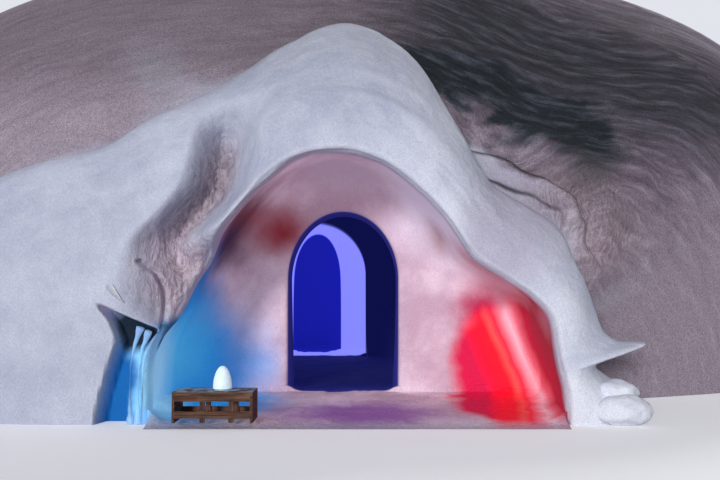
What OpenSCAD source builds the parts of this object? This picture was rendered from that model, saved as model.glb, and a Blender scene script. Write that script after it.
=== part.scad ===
// Igloo of packed snow: a broad mound over a round room, with a hooded porch in front.
// Millimetres. Origin at the bottom centre of the footprint, +Z up, the porch mouth faces -Y.
//
// Every snow piece is a sector of one body turned about the Y axis at ground level. A point is
// given by a turn a (0 at the right foot, 90 straight up, 180 at the left foot), a place y along
// the building and a radius r, so neighbours meet on shared flat sides.

/* [Mound] */
// Width of the mound, foot to foot
mound_w = 16000; // [14500:100:18500]
// Depth of the whole building, porch toes to back foot
mound_d = 11600; // [11000:100:14000]
// Height of the mound's crest
mound_h = 6200; // [5800:50:7400]

/* [Porch] */
// Width of the mouth at the floor
mouth_w = 3920; // [3400:20:4300]
// Height of the mouth
mouth_h = 2510; // [2200:10:2700]
// Height of the hood's crest above the ground
hood_h = 4000; // [3700:20:4300]
// How far the toes reach in front of the mouth's lip
toe = 250; // [200:10:400]
// Depth of the porch from the mouth's rim to the door wall
porch_d = 2100; // [1800:20:2600]
// How much wider the vault is than the mouth, each side
vault_flare = 110; // [60:5:160]
// Depth of the hollow between the hood and the left wing
hollow_depth = 500; // [300:10:560]

/* [Doorway] */
// Half width of the doorway in the door wall
door_hw = 650; // [500:10:750]
// Sideways shift of the doorway from the middle
door_x = -200; // [-300:10:0]
// Height of the doorway's upright sides
door_spring = 1350; // [1200:10:1500]
// Rise of the doorway's arch above its upright sides
door_rise = 800; // [500:10:900]
// Thickness of the door wall
door_t = 500; // [350:10:700]

/* [Room] */
// Half width of the room
room_hw = 4700; // [4200:50:5000]
// Height of the room
room_h = 3900; // [3500:50:4200]
// Left side of the inner opening at the back of the room, from the middle
inner_left = 1700; // [1300:10:1800]
// Right side of the inner opening, from the middle
inner_right = 100; // [60:10:800]
// Height of the inner opening's top
inner_h = 2440; // [2100:10:2600]
// Thickness of the floors
floor_t = 50; // [40:5:60]

/* [Bench and lamp] */
// Length of the bench
bench_l = 710; // [600:10:800]
// Depth of the bench
bench_d = 380; // [300:10:420]
// Height of the bench
bench_h = 270; // [230:5:320]
// Thickness of the bench's boards
board = 22; // [18:1:28]
// Width of the lamp
lamp_w = 170; // [140:5:200]
// Height of the lamp
lamp_h = 215; // [180:5:260]

/* [Hidden] */
y_front = -mound_d / 2;          // toes
y_back = mound_d / 2;            // back foot
y_lip = y_front + toe;           // front of the rolled lip
y_rim = y_lip + 90;              // edge of the mouth
y_join = y_rim + 1160;           // back of the hood pieces
y_apse = y_rim + porch_d - 500;  // where the door wall starts to curve in
y_door = y_rim + porch_d;        // front of the doorway
y_room = y_door + door_t;        // front of the room
y_wide = 600;                    // widest place of the mound
y_arch = 2200;                   // front of the inner wall
arch_t = 400;                    // thickness of the inner wall
y_rear = y_arch + arch_t;        // front of the back space
y_end = y_back - 1400;           // back of the back space
inner_rise = 940;                // rise of the inner opening's arch
rear_hw = 2350;                  // half width of the back space
rear_h = 2900;                   // height of the back space
foot = 8;                        // turn below which the inner walls stand upright

// Shape factors, as [turn, value] pairs joined by smooth curves
rim_shape = [[8, .966], [14, .956], [21, .956], [29, .966], [36, .925], [44, .86], [55, .805],
    [68, .856], [78, .915], [86, .967], [94, 1], [104, 1.012], [112, .992], [121, .967], [135, .952],
    [152, .972], [163, 1], [172, .99]];
brow_shape = [[0, .69], [5, .67], [9, .63], [12.2, .61], [14.2, .712], [16.5, .652], [20, .628],
    [28, .637], [36, .653], [43, .678], [49, .671], [55, .664], [60, .664], [64, .69], [70, .753],
    [75, .816], [79, .881], [84, .947], [92, 1],
    [101, .96], [108, .922], [116, .899],
    [124, .909], [134, .932], [146, 1.071], [160, 1.237], [180, 1.364]];
brow_back = [[0, 620], [8, 580], [12.2, 560], [14.2, 270], [17, 400], [28, 430], [42, 470], [57, 560],
    [70, 620], [92, 700], [116, 620], [134, 480], [180, 420]];
mound_n = [[0, 2], [40, 2.35], [60, 2.25], [100, 2.3], [135, 2.6], [180, 2.4]];
mound_m = [[0, 2], [45, 2.3], [90, 2.6], [180, 2.7]];
mound_q = [[0, .9], [45, .435], [90, .385], [180, .37]];

function clamp(x, lo, hi) = min(max(x, lo), hi);
function find(p, x, i = 0) = (i >= len(p) - 2 || x < p[i + 1][0]) ? i : find(p, x, i + 1);
function slope(p, i) = (i <= 0 || i >= len(p) - 1) ? 0
    : (p[i + 1][1] - p[i - 1][1]) / (p[i + 1][0] - p[i - 1][0]);
// Value at x on the smooth curve through the pairs p
function curve(p, x) = let (i = find(p, x), h = p[i + 1][0] - p[i][0], t = clamp((x - p[i][0]) / h, 0, 1))
    (2 * t * t * t - 3 * t * t + 1) * p[i][1] + (t * t * t - 2 * t * t + t) * h * slope(p, i)
    + (3 * t * t - 2 * t * t * t) * p[i + 1][1] + (t * t * t - t * t) * h * slope(p, i + 1);
function ease(x) = let (t = clamp(x, 0, 1)) t * t * (3 - 2 * t);
function bump(x) = abs(x) >= 1 ? 0 : pow(1 - x * x, 2);
function steps(a, b, n) = [for (i = [0 : n]) a + (b - a) * i / n];
function turned(l) = [for (i = [len(l) - 1 : -1 : 0]) l[i]];
function spot(a, y, r) = [r * cos(a), y, r * sin(a)];

// Radius of a rounded box section, half width w, height h, fullness n
function oval(a, w, h, n) = pow(pow(abs(cos(a)) / w, n) + pow(abs(sin(a)) / h, n), -1 / n);
// Radius of an arched opening with upright sides
function arch(a, cx, w, spring, rise) =
    let (c = cos(a), s = sin(a), A = c * c / w / w + s * s / rise / rise,
        B = -2 * (c * cx / w / w + s * spring / rise / rise),
        C = cx * cx / w / w + spring * spring / rise / rise - 1,
        r = (-B + sqrt(max(0, B * B - 4 * A * C))) / 2 / A)
    (r * s > spring) ? r : (c > 0 ? (cx + w) / c : (cx - w) / c);
function upright(a, r) = let (b = clamp(a, foot, 180 - foot)) a == b ? r : r * cos(b) / cos(a);
function held(a) = clamp(a, foot, 180 - foot);

function rim(a) = let (b = held(a)) upright(a, oval(b, mouth_w / 2, mouth_h, 2) * curve(rim_shape, b));
function vault(a) = let (b = held(a)) upright(a, rim(b) + vault_flare);
function door(a) = let (b = held(a)) upright(a, arch(b, door_x, door_hw, door_spring, door_rise));
function inner(a) = let (b = held(a)) upright(a,
    arch(b, (inner_right - inner_left) / 2, (inner_right + inner_left) / 2,
        inner_h - inner_rise, inner_rise));
function room(a) = let (b = held(a)) upright(a, oval(b, room_hw, room_h, 2.3));
function rear(a) = let (b = held(a)) upright(a, oval(b, rear_hw, rear_h, 2.2));

// Outer skin of the mound
function swell(a, y) = y < y_wide
    ? pow(max(0, 1 - pow(min(1, (y_wide - y) / (y_wide - y_front - 950)), curve(mound_m, a))),
        curve(mound_q, a))
    : pow(max(0, 1 - pow(min(1, (y - y_wide) / (y_back - y_wide)), 2.4)), 1 / 2.4);
function mound(a, y) = oval(a, mound_w / 2, mound_h, curve(mound_n, a)) * swell(a, y);
// Edge of the hood and wing, and the valley behind the hood's right side
function brow(a) = max(curve(brow_shape, a) * (hood_h - 40), vault(a) + 340);
function valley(a, y) = 420 * bump((a - 60) / 24) * bump((y + 3500) / 1300);
function y_brow(a) = y_lip + curve(brow_back, a);
function hood(a, y) = brow(a) * (1 - .16 * pow(max(0, y - y_brow(a)) / 1000, 2));
function outer(a, y) = pow(pow(mound(a, y) / 1000, 8) + pow(max(0, hood(a, y)) / 1000, 8), 1 / 8) * 1000
    - valley(a, y);

// Depth added to the front at d millimetres from the rim: a hollow to the right of the wing's
// inner edge, given as [z, x], that opens into the mouth below, and the niche in the left foot
lip = 60;
niche_turn = 161;
wing_edge = [[0, -2300], [1300, -2250], [1650, -2180], [1970, -1880], [2240, -1690], [2820, -1600],
    [3200, -1500]];
function reach(a) = brow(a) - rim(a);
function hollow(a, d) = a < 105 ? 0 : let (r = rim(a) + d, z = r * sin(a),
        t = r * cos(a) - curve(wing_edge, z), w = 600 - 300 * ease((z - 1300) / 700))
    hollow_depth * ease(t / w) * (1 - ease((z - 1450) / 400) * ease((t - 300) / 280))
    * (1 - ease((z - 2600) / 500)) * (1 - ease((a - 149) / 11));
function dents(a, d) = hollow(a, d)
    + (a > niche_turn ? 230 * ease((d - 50) / 40) * (1 - ease((d - 380 - niche_turn + a) / 60)) : 0);
// Front of the hood and wing as [y, r]
function front(a, d) = [y_lip + 90 * pow(1 - clamp(d / lip, 0, 1), 2)
    + curve(brow_back, a) * pow(max(0, d - lip) / (reach(a) - lip), 2.2) + dents(a, d), rim(a) + d];
front_t = [.05, .11, .18, .26, .34, .43, .52, .61, .7, .79, .87, .94, 1];
foot_d = [48, 70, 95, 160, 240, 330, 380, 420, 460];
function front_ds(a) = concat([0, 25], [lip], [for (t = front_t) lip + (reach(a) - lip) * t]);
function foot_ds(a) = concat([0, 25], foot_d, [for (t = [.2 : .1 : 1]) 60 + (reach(a) - 60) * t]);

// Triangles of a flat outline of 2D points, cutting off the ear with the shortest cut each time
function cross2(p, q, r) = (q[0] - p[0]) * (r[1] - p[1]) - (q[1] - p[1]) * (r[0] - p[0]);
function winding(p) = sign([for (i = [0 : len(p) - 1]) cross2([0, 0], p[i], p[(i + 1) % len(p)])]
    * [for (q = p) 1]);
function is_ear(p, ids, i, w) = let (n = len(ids), a = ids[(i + n - 1) % n], b = ids[i], c = ids[(i + 1) % n])
    w * cross2(p[a], p[b], p[c]) > 1 && len([for (k = ids) if (k != a && k != b && k != c
        && w * cross2(p[a], p[b], p[k]) >= -.1 && w * cross2(p[b], p[c], p[k]) >= -.1
        && w * cross2(p[c], p[a], p[k]) >= -.1) k]) == 0;
function ears(p, ids, w) = let (n = len(ids)) n == 3 ? [ids]
    : let (cuts = [for (i = [0 : n - 1]) is_ear(p, ids, i, w)
            ? norm(p[ids[(i + n - 1) % n]] - p[ids[(i + 1) % n]]) : 1e9],
        k = search(min(cuts), cuts)[0])
    concat([[ids[(k + n - 1) % n], ids[k], ids[(k + 1) % n]]],
        ears(p, [for (i = [0 : n - 1]) if (i != k) ids[i]], w));
function outline_triangles(p) = ears(p, [for (i = [0 : len(p) - 1]) i], winding(p));

// Closed solid between rings of points that all have the same count; points on the Y axis are
// shared. A flipped loft cuts its four-sided faces along the other diagonal, so it can lie flush
// on a loft that is not flipped.
module loft(rings, flip = false) {
    n = len(rings[0]);
    m = len(rings);
    pts = [for (q = rings) for (p = q) p];
    function id(i, j) = let (k = j % n, p = rings[i][k]) (abs(p[0]) + abs(p[2]) < .001) ? k : i * n + k;
    function tri(a, b, c) = (a == b || b == c || a == c) ? [] : [[a, b, c]];
    function cap(i) = outline_triangles([for (p = rings[i]) [p[1], norm([p[0], p[2]])]]);
    polyhedron(pts, [
        for (i = [0 : m - 2]) for (j = [0 : n - 1])
            let (p = id(i, j), q = id(i + 1, j), r = id(i + 1, j + 1), s = id(i, j + 1))
                each flip ? concat(tri(p, q, s), tri(q, r, s)) : concat(tri(p, q, r), tri(p, r, s)),
        for (t = cap(0)) [id(0, t[0]), id(0, t[1]), id(0, t[2])],
        for (t = cap(m - 1)) [id(m - 1, t[2]), id(m - 1, t[1]), id(m - 1, t[0])]]);
}
// Sector of the body: each profile is a list of [y, r] from the inside front round to the outside
module sector(turns, profiles) {
    loft([for (i = [0 : len(turns) - 1]) [for (p = profiles[i]) spot(turns[i], p[0], p[1])]]);
}

// Hood and wing pieces, from the mouth back to the bank
y_straight = y_join - 380;
function vault_in(a, y) = let (y0 = y_rim + dents(a, 0))
    rim(a) + vault_flare * ease((y - y0) / (y_straight - y0));
function hood_in(a) = let (y0 = y_rim + dents(a, 0), l = y_straight - y0)
    [y_join, y_straight, y0 + .65 * l, y0 + .4 * l, y0 + .18 * l];
function hood_profile(a, ds) = turned(concat(
    [for (y = hood_in(a)) [y, vault_in(a, y)]],
    [for (d = ds) front(a, d)],
    [for (y = [y_brow(a) + (y_join - y_brow(a)) * .4, y_join]) [y, outer(a, y)]]));
module hood_piece(turns) sector(turns, [for (a = turns) hood_profile(a, front_ds(a))]);
// Shell between two places along the building
function room_in(a, y) =
    y <= y_room + 1000
        ? vault(a) + (room(a) - vault(a)) * sqrt(max(0, 1 - pow((y_room + 1000 - y) / 1000, 2)))
    : y <= y_arch - 1000 ? room(a)
    : rear(a) + (room(a) - rear(a)) * sqrt(max(0, 1 - pow((y - y_arch + 1000) / 1000, 2)));
function rear_in(a, y) = rear(a) * sqrt(max(0, 1 - pow(max(0, y - y_rear) / (y_end - y_rear), 2)));

bank_out = steps(y_room, y_join, 5);
front_in = [y_room, y_room + 50, y_room + 200, y_room + 500, y_room + 1000, -400];
front_out = steps(-400, y_room, 5);
mid_in = [-400, y_arch - 1000, y_arch - 500, y_arch - 200, y_arch - 50, y_arch];
mid_out = [y_arch, 1400, y_wide, -400];
back_in = [y_arch, y_rear, y_rear + 500, y_rear + 1000, y_end - 400, y_end - 120, y_end];
back_out = [y_back, y_back - 60, y_back - 250, y_back - 600, y_back - 1200, y_back - 2000,
    y_back - 2800, y_arch];

module bank_piece(turns) sector(turns, [for (a = turns) concat(
    [[y_join, vault(a)], [y_room, vault(a)]],
    [for (y = bank_out) [y, outer(a, y)]])]);
module front_piece(turns) sector(turns, [for (a = turns) concat(
    [for (y = front_in) [y, room_in(a, y)]], [for (y = front_out) [y, outer(a, y)]])]);
module mid_piece(turns) sector(turns, [for (a = turns) concat(
    [for (y = mid_in) [y, room_in(a, y)]], [for (y = mid_out) [y, outer(a, y)]])]);
module back_piece(turns) sector(turns, [for (a = turns) concat(
    [for (y = back_in) [y, y <= y_rear ? rear(a) : rear_in(a, y)]],
    [for (y = back_out) [y, outer(a, y)]])]);

right_turns = [0, foot, 14, 20, 26, 32, 38, 44];
crown_turns = steps(44, 136, 18);
left_turns = [136, 143, 150, 157, 164.5, 180 - foot, 180];

// Door wall: a curved back to the porch round the doorway
function door_profile(a) = let (v = vault(a), d = door(a), w = v - d) [
    [y_apse, v], [y_apse + 260, d + w * .93], [y_apse + 420, d + w * .75], [y_apse + 480, d + w * .45],
    [y_door, d + w * .08], [y_door + 40, d], [y_room, d], [y_room, v]];
module door_piece(turns) sector(turns, [for (a = turns) door_profile(a)]);
// Wall of the inner opening
module inner_piece(turns) sector(turns, [for (a = turns)
    [[y_arch, rear(a)], [y_arch, inner(a)], [y_rear, inner(a)], [y_rear, rear(a)]]]);

// Floor between the feet of the walls: pairs of [y, right x, left x] from front to back
module floor_slab(rows) color("lavender") linear_extrude(floor_t)
    polygon(concat([for (q = rows) [q[1], q[0]]],
        [for (i = [len(rows) - 1 : -1 : 0]) [-rows[i][2], rows[i][0]]]));

snow = "aliceblue";
module hood_crown() color(snow) hood_piece(steps(57, 110, 14));
module hood_right_haunch() color(snow) hood_piece(steps(26, 57, 8));
heap_turns = [0, 2, 4, 6, foot, 9.5, 11, 12.2];
module hood_right_leg() color(snow) hood_piece(concat(heap_turns, [13.2, 14.2, 15.2, 16.3, 18, 20, 23, 26]));
module hollow_wall() color(snow) hood_piece([110, 112, 114, 116, 118, 120, 122, 124.5, 127]);
module left_wing_bank() color(snow) hood_piece(concat(steps(127, 157, 10), [niche_turn]));
module left_wing_foot() color(snow) {
    turns = [niche_turn, 164.5, 168, 180 - foot, 176, 180];
    sector(turns, [for (i = [0 : len(turns) - 1])
        hood_profile(turns[i] + (i == 0 ? .001 : 0), foot_ds(turns[i]))]);
}
// Thin ribs of snow left standing in the mouth of the niche, from its top to the ground
module rib(d0, d1, w) {
    turns = [for (a = [niche_turn : 3.8 : 180.1]) min(a, 180)];
    sector(turns, [for (a = turns) let (k = (a - niche_turn) / (180 - niche_turn),
        r = rim(a) + d0 + (d1 - d0) * k, v = w * (.8 + .6 * pow(2 * k - 1, 2)))
        [for (u = [0 : 60 : 300]) [y_lip + 60 + v * cos(u), r - v * sin(u)]]]);
}
module niche_rib_outer() color("lavender") rib(215, 160, 17);
module niche_rib_inner() color("lavender") rib(130, 105, 13);
// Lumps of snow heaped against the front, between the turns and the shares ts of its reach
module lumps(turns, ts, h) {
    rows = [for (a = turns) let (k = (a - turns[0]) / (turns[len(turns) - 1] - turns[0]))
        [for (t = ts) let (u = (t - ts[0]) / (ts[len(ts) - 1] - ts[0]),
            p = front(a, lip + (reach(a) - lip) * t),
            f = 18 + h * pow(max(0, sin(180 * u)), .6) * pow(max(0, k < .5 ? 1 : cos(180 * (k - .5))), .6))
            [a, p, [p[0] - f, p[1]]]]];
    loft([for (q = rows) concat([for (v = q) spot(v[0], v[1][0], v[1][1])],
        [for (i = [len(q) - 1 : -1 : 0]) spot(q[i][0], q[i][2][0], q[i][2][1])])], true);
}
// Heap at the foot of the right leg
module snow_heap_lower() color(snow)
    lumps([for (i = [0 : 4]) heap_turns[i]], [for (i = [3 : 12]) front_t[i]], 150);
module snow_heap_upper() color(snow)
    lumps([for (i = [4 : 6]) heap_turns[i]], [for (i = [3 : 11]) front_t[i]], 110);
// A curled chip of snow standing off the wing's face
module wing_chip() color(snow) lumps([149, 150, 151, 152, 153], steps(.19, .245, 6), 45);
module bank_right() color(snow) bank_piece(right_turns);
module bank_crown() color(snow) bank_piece(crown_turns);
module bank_left() color(snow) bank_piece(left_turns);
module dome_front_right() color(snow) front_piece(right_turns);
module dome_front_crown() color(snow) front_piece(crown_turns);
module dome_front_left() color(snow) front_piece(left_turns);
module dome_mid_right() color(snow) mid_piece(right_turns);
module dome_mid_crown() color(snow) mid_piece(crown_turns);
module dome_mid_left() color(snow) mid_piece(left_turns);
module dome_back_right() color(snow) back_piece(right_turns);
module dome_back_crown() color(snow) back_piece(crown_turns);
module dome_back_left() color(snow) back_piece(left_turns);
module door_wall_right() color(snow) door_piece([0, foot, 14, 20, 26, 32, 38, 44]);
module door_wall_arch() color(snow) door_piece(steps(44, 136, 18));
module door_wall_left() color(snow) door_piece(left_turns);
module inner_wall_right() color(snow) inner_piece(right_turns);
module inner_wall_arch() color(snow) inner_piece(crown_turns);
module inner_wall_left() color(snow) inner_piece(left_turns);

module porch_floor() floor_slab(concat(
    [[y_front, rim(0) - 30, rim(180) - 30], [y_lip, rim(0) - 30, rim(180) - 30], [y_rim, rim(0), rim(180)]],
    [for (i = [4 : -1 : 0]) let (y = hood_in(0)[i]) [y, vault_in(0, y), vault_in(180, y)]],
    [for (i = [0 : 4]) let (p = door_profile(0)[i], q = door_profile(180)[i]) [p[0], p[1], q[1]]]));
module passage_floor() floor_slab([
    [y_door, door_profile(0)[4][1], door_profile(180)[4][1]],
    [y_door + 40, door(0), door(180)], [y_room, door(0), door(180)]]);
module room_floor() floor_slab(concat(
    [for (y = front_in) [y, room_in(0, y), room_in(180, y)]],
    [for (i = [1 : len(mid_in) - 1]) let (y = mid_in[i]) [y, room_in(0, y), room_in(180, y)]]));
module inner_sill() floor_slab([[y_arch, inner(0), inner(180)], [y_rear, inner(0), inner(180)]]);
module back_floor() floor_slab([for (i = [1 : len(back_in) - 1]) let (y = back_in[i])
    [y, max(.01, rear_in(0, y)), max(.01, rear_in(180, y))]]);

// Bench and lamp at the left of the mouth
bench_x = -1300;
bench_y = y_front + 30 + bench_d / 2;
bz = floor_t;
module bench_top() color("tan") for (i = [0 : 3])
    translate([bench_x - bench_l / 2, bench_y - bench_d / 2 + i * bench_d / 4, bz + bench_h - board])
        cube([bench_l, bench_d / 4 - 4, board]);
module bench_ends() color("peru") for (s = [0, 1])
    translate([bench_x - bench_l / 2 + s * (bench_l - board) , bench_y - bench_d / 2, bz])
        cube([board, bench_d, bench_h - board]);
module bench_rails() color("peru") for (s = [0, 1]) for (z = [40, bench_h - board - 60])
    translate([bench_x - bench_l / 2 + board, bench_y - bench_d / 2 + s * (bench_d - board), bz + z])
        cube([bench_l - 2 * board, board, 60]);
module bench_posts() color("sienna") for (x = [-.16, .2]) for (s = [0, 1])
    translate([bench_x + x * bench_l, bench_y - bench_d / 2 + board + s * (bench_d - 3 * board), bz])
        cube([44, board, bench_h - board]);
lamp_x = bench_x + 60;
lamp_z = bz + bench_h;
module lamp_base() color("white") translate([lamp_x, bench_y, lamp_z])
    cylinder(h = 14, d = lamp_w * .86, $fn = 48);
module lamp_dome() color("ivory") translate([lamp_x, bench_y, lamp_z + 14]) rotate_extrude($fn = 48)
    polygon(concat([[0, 0]], [for (u = [0 : 10 : 90])
        [lamp_w / 2 * pow(cos(u), .9) * (.9 + .1 * cos(u)), (lamp_h - 14) * sin(u)]]));

hood_crown();
hood_right_haunch();
hood_right_leg();
hollow_wall();
left_wing_bank();
left_wing_foot();
niche_rib_outer();
niche_rib_inner();
snow_heap_lower();
snow_heap_upper();
wing_chip();
bank_right();
bank_crown();
bank_left();
dome_front_right();
dome_front_crown();
dome_front_left();
dome_mid_right();
dome_mid_crown();
dome_mid_left();
dome_back_right();
dome_back_crown();
dome_back_left();
door_wall_right();
door_wall_arch();
door_wall_left();
inner_wall_right();
inner_wall_arch();
inner_wall_left();
porch_floor();
passage_floor();
room_floor();
inner_sill();
back_floor();
bench_top();
bench_ends();
bench_rails();
bench_posts();
lamp_base();
lamp_dome();
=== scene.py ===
# %% [markdown]
# # A snow igloo with a hooded porch
# The building is one heap of packed snow, hollowed out by hand: a broad mound, a porch shaped like
# a hooded bell, a doorway, a round room and a second small arch behind it.
# Every snow piece is a slice of one body turned about the Y axis at ground level. A point has a
# turn (0 at the right foot, 90 straight up, 180 at the left foot), a place y along the building
# and a radius r, so the surfaces are worked out as r of (turn, y), in metres, and neighbouring
# slices share their flat sides.
# %% Load the frame
import bpy
from functools import partial
import numpy as np
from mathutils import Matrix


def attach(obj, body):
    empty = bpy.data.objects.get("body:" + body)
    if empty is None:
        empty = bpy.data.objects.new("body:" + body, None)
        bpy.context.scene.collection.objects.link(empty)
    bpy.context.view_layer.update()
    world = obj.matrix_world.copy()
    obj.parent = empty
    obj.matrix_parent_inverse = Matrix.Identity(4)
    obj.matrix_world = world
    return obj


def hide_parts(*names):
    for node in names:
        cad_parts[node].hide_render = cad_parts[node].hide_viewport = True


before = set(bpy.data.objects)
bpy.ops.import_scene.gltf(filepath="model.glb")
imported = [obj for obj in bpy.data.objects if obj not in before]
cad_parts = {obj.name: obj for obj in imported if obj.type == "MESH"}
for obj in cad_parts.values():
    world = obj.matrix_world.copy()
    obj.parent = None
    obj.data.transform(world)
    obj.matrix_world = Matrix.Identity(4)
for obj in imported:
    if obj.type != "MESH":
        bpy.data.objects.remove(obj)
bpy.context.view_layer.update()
scene = bpy.context.scene

# %% [markdown]
# The camera stands where the photograph was taken: about 7.9 m in front of the mouth, 1.2 m above
# the snow, with a 42.5 mm lens tilted up by 3.5 degrees.
# %% Camera
CAMERA_PLACE = (0.0, -13.31, 1.2)
TILT_UP = np.radians(3.5)
camera = bpy.data.objects.new("camera", bpy.data.cameras.new("camera"))
scene.collection.objects.link(camera)
camera.location = CAMERA_PLACE
camera.rotation_euler = (np.pi / 2 + TILT_UP, 0, 0)
camera.data.lens, camera.data.sensor_width = 42.5, 36
camera.data.clip_end = 200
scene.camera = camera
print("camera at", CAMERA_PLACE)

# %% [markdown]
# Smooth curves come first. Shape factors are pairs of (turn, value), joined by cubic Hermite
# curves, so that a hand-cut outline can wander without a corner.
# %% Curve helpers
def hermite(t):
    """Weights of a cubic's start, start slope, end and end slope at t in 0..1."""
    return 2 * t**3 - 3 * t**2 + 1, t**3 - 2 * t**2 + t, 3 * t**2 - 2 * t**3, t**3 - t**2


def curve(pairs, x):
    """Cubic Hermite through the pairs, with each slope that of its neighbours' chord, 0 at the
    ends."""
    px, py = np.asarray(pairs, float).T
    slope = np.zeros(len(px))
    slope[1:-1] = (py[2:] - py[:-2]) / (px[2:] - px[:-2])
    i = np.clip(np.searchsorted(px, x, side="right") - 1, 0, len(px) - 2)
    h = px[i + 1] - px[i]
    start, leave, end, arrive = hermite(np.clip((x - px[i]) / h, 0, 1))
    return start * py[i] + leave * h * slope[i] + end * py[i + 1] + arrive * h * slope[i + 1]


def ease(x):
    """0 below 0, 1 above 1, and 3x^2 - 2x^3 between."""
    t = np.clip(x, 0, 1)
    return t * t * (3 - 2 * t)


def bump(x):
    """(1 - x^2)^2 inside -1..1, and 0 outside: a smooth hill."""
    return np.maximum(0, 1 - np.square(x)) ** 2


def cosd(a):
    return np.cos(np.radians(a))


def sind(a):
    return np.sin(np.radians(a))


def unit(v):
    """Vectors of the last axis, made one long."""
    return v / (np.linalg.norm(v, axis=-1, keepdims=True) + 1e-12)


# %% [markdown]
# The sizes repeat those of the construction model, in metres. Stations along Y run from the toes
# of the porch at the front to the back foot of the mound.
# %% Sizes and stations
MOUND_W, MOUND_H = 16.0, 6.2
MOUTH_W, MOUTH_H, HOOD_H = 3.92, 2.51, 4.0
HOOD_THICK, HOOD_ROUNDING = .34, .04     # least thickness over the vault; what the relief takes off
VAULT_FLARE, FLOOR_T, LIP = 0.11, 0.05, 0.06
DOORWAY = (-.2, .65, 1.35, .8)           # centre, half width, height of the springing, rise
INNER_OPENING = (-.8, .9, 1.5, .94)
ROOM, REAR = (4.7, 3.9, 2.3), (2.35, 2.9, 2.2)     # half width, height, power of the oval
Y_FRONT, Y_LIP, Y_RIM, Y_JOIN, Y_STRAIGHT = -5.8, -5.55, -5.46, -4.3, -4.68
Y_APSE, Y_DOOR, Y_ROOM, Y_WIDE, Y_MID = -3.86, -3.36, -2.86, 0.6, -0.4
Y_ARCH, Y_REAR, Y_END, Y_BACK = 2.2, 2.6, 4.4, 5.8
FOOT, NICHE_TURN = 8, 161
RIGHT_END, LEFT_START = 44, 136          # turns at which the mound and the walls are cut

# By turn: the rim against its oval, the brow against the hood's height, how far the brow lies
# behind the lip, and the three powers that shape the mound
RIM_SHAPE = [[8, .966], [14, .956], [21, .956], [29, .966], [36, .925], [44, .86], [55, .805],
             [68, .856], [78, .915], [86, .967], [94, 1], [104, 1.012], [112, .992], [121, .967],
             [135, .952], [152, .972], [163, 1], [172, .99]]
BROW_SHAPE = [[0, .69], [5, .67], [9, .62], [12.4, .588], [13.9, .598], [14.6, .71], [16.6, .655],
              [20, .628], [28, .637], [36, .653], [43, .678], [49, .671], [55, .664], [60, .664],
              [64, .69], [70, .753], [75, .816], [79, .881], [84, .947], [92, 1], [101, .96],
              [108, .922], [116, .899], [124, .909], [134, .932], [146, 1.071], [160, 1.237],
              [180, 1.364]]
BROW_BACK = [[0, .62], [8, .58], [12.2, .56], [14.2, .27], [17, .4], [28, .43], [42, .47],
             [57, .56], [70, .62], [92, .7], [116, .62], [134, .48], [180, .42]]
MOUND_N = [[0, 2], [40, 2.35], [60, 2.25], [100, 2.3], [135, 2.6], [180, 2.4]]
MOUND_M = [[0, 2], [45, 2.3], [90, 2.6], [180, 2.7]]
MOUND_Q = [[0, .9], [45, .435], [90, .385], [180, .37]]


# %% [markdown]
# The openings are rounded sections: the mouth is half an oval that was cut by eye, the doorway and
# the inner opening are arches with upright sides. Below a turn of 8 degrees the walls stand
# upright, as a wall does where it meets its floor.
# %% Sections of the hollow
def oval(a, w, h, n):
    """Radius of |x/w|^n + |z/h|^n = 1 at turn a."""
    return ((np.abs(cosd(a)) / w) ** n + (np.abs(sind(a)) / h) ** n) ** (-1 / n)


def arch(a, cx, w, spring, rise):
    """Radius of an opening with upright sides, half an ellipse of that rise on top."""
    c, s = cosd(a), sind(a)
    qa = (c / w) ** 2 + (s / rise) ** 2
    qb = -2 * (c * cx / w**2 + s * spring / rise**2)
    qc = (cx / w) ** 2 + (spring / rise) ** 2 - 1
    r = (-qb + np.sqrt(np.maximum(0, qb * qb - 4 * qa * qc))) / 2 / qa
    side = np.where(c > 0, cx + w, cx - w) / np.where(np.abs(c) < 1e-9, 1e-9, c)
    return np.where(r * s > spring, r, side)


def upright(section):
    """The section, a radius by turn, with its sides standing upright below the foot turn."""
    def standing(a):
        held = np.clip(a, FOOT, 180 - FOOT)
        return section(held) * cosd(held) / np.where(a == held, cosd(held), cosd(a))
    return standing


rim = upright(lambda a: oval(a, MOUTH_W / 2, MOUTH_H, 2) * curve(RIM_SHAPE, a))
vault = upright(lambda a: rim(a) + VAULT_FLARE)
doorway = upright(lambda a: arch(a, *DOORWAY))
inner_opening = upright(lambda a: arch(a, *INNER_OPENING))
room = upright(lambda a: oval(a, *ROOM))
rear = upright(lambda a: oval(a, *REAR))
print("mouth at 90 degrees:", round(float(rim(np.float64(90))), 3), "m")


# %% [markdown]
# The outer skin is the mound and the hood joined by a power mean, which rounds the valley between
# them as drifted snow does. The front of the porch is a bell: it leans back from the lip towards
# the brow. Hollows are dents along Y: one beside the hood, one that carves the wing's end.
# %% Outer skin and front
def swell(a, y):
    """How far the mound has risen at y: superellipse ends before and behind its widest place."""
    ahead = np.clip((Y_WIDE - y) / (Y_WIDE - Y_FRONT - .95), 0, 1) ** curve(MOUND_M, a)
    behind = np.clip((y - Y_WIDE) / (Y_BACK - Y_WIDE), 0, 1) ** 2.4
    return np.where(y < Y_WIDE, (1 - ahead) ** curve(MOUND_Q, a), (1 - behind) ** (1 / 2.4))


def mound(a, y):
    return oval(a, MOUND_W / 2, MOUND_H, curve(MOUND_N, a)) * swell(a, y)


def brow(a):
    return np.maximum(curve(BROW_SHAPE, a) * (HOOD_H - HOOD_ROUNDING), vault(a) + HOOD_THICK)


def y_brow(a):
    return Y_LIP + curve(BROW_BACK, a)


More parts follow.
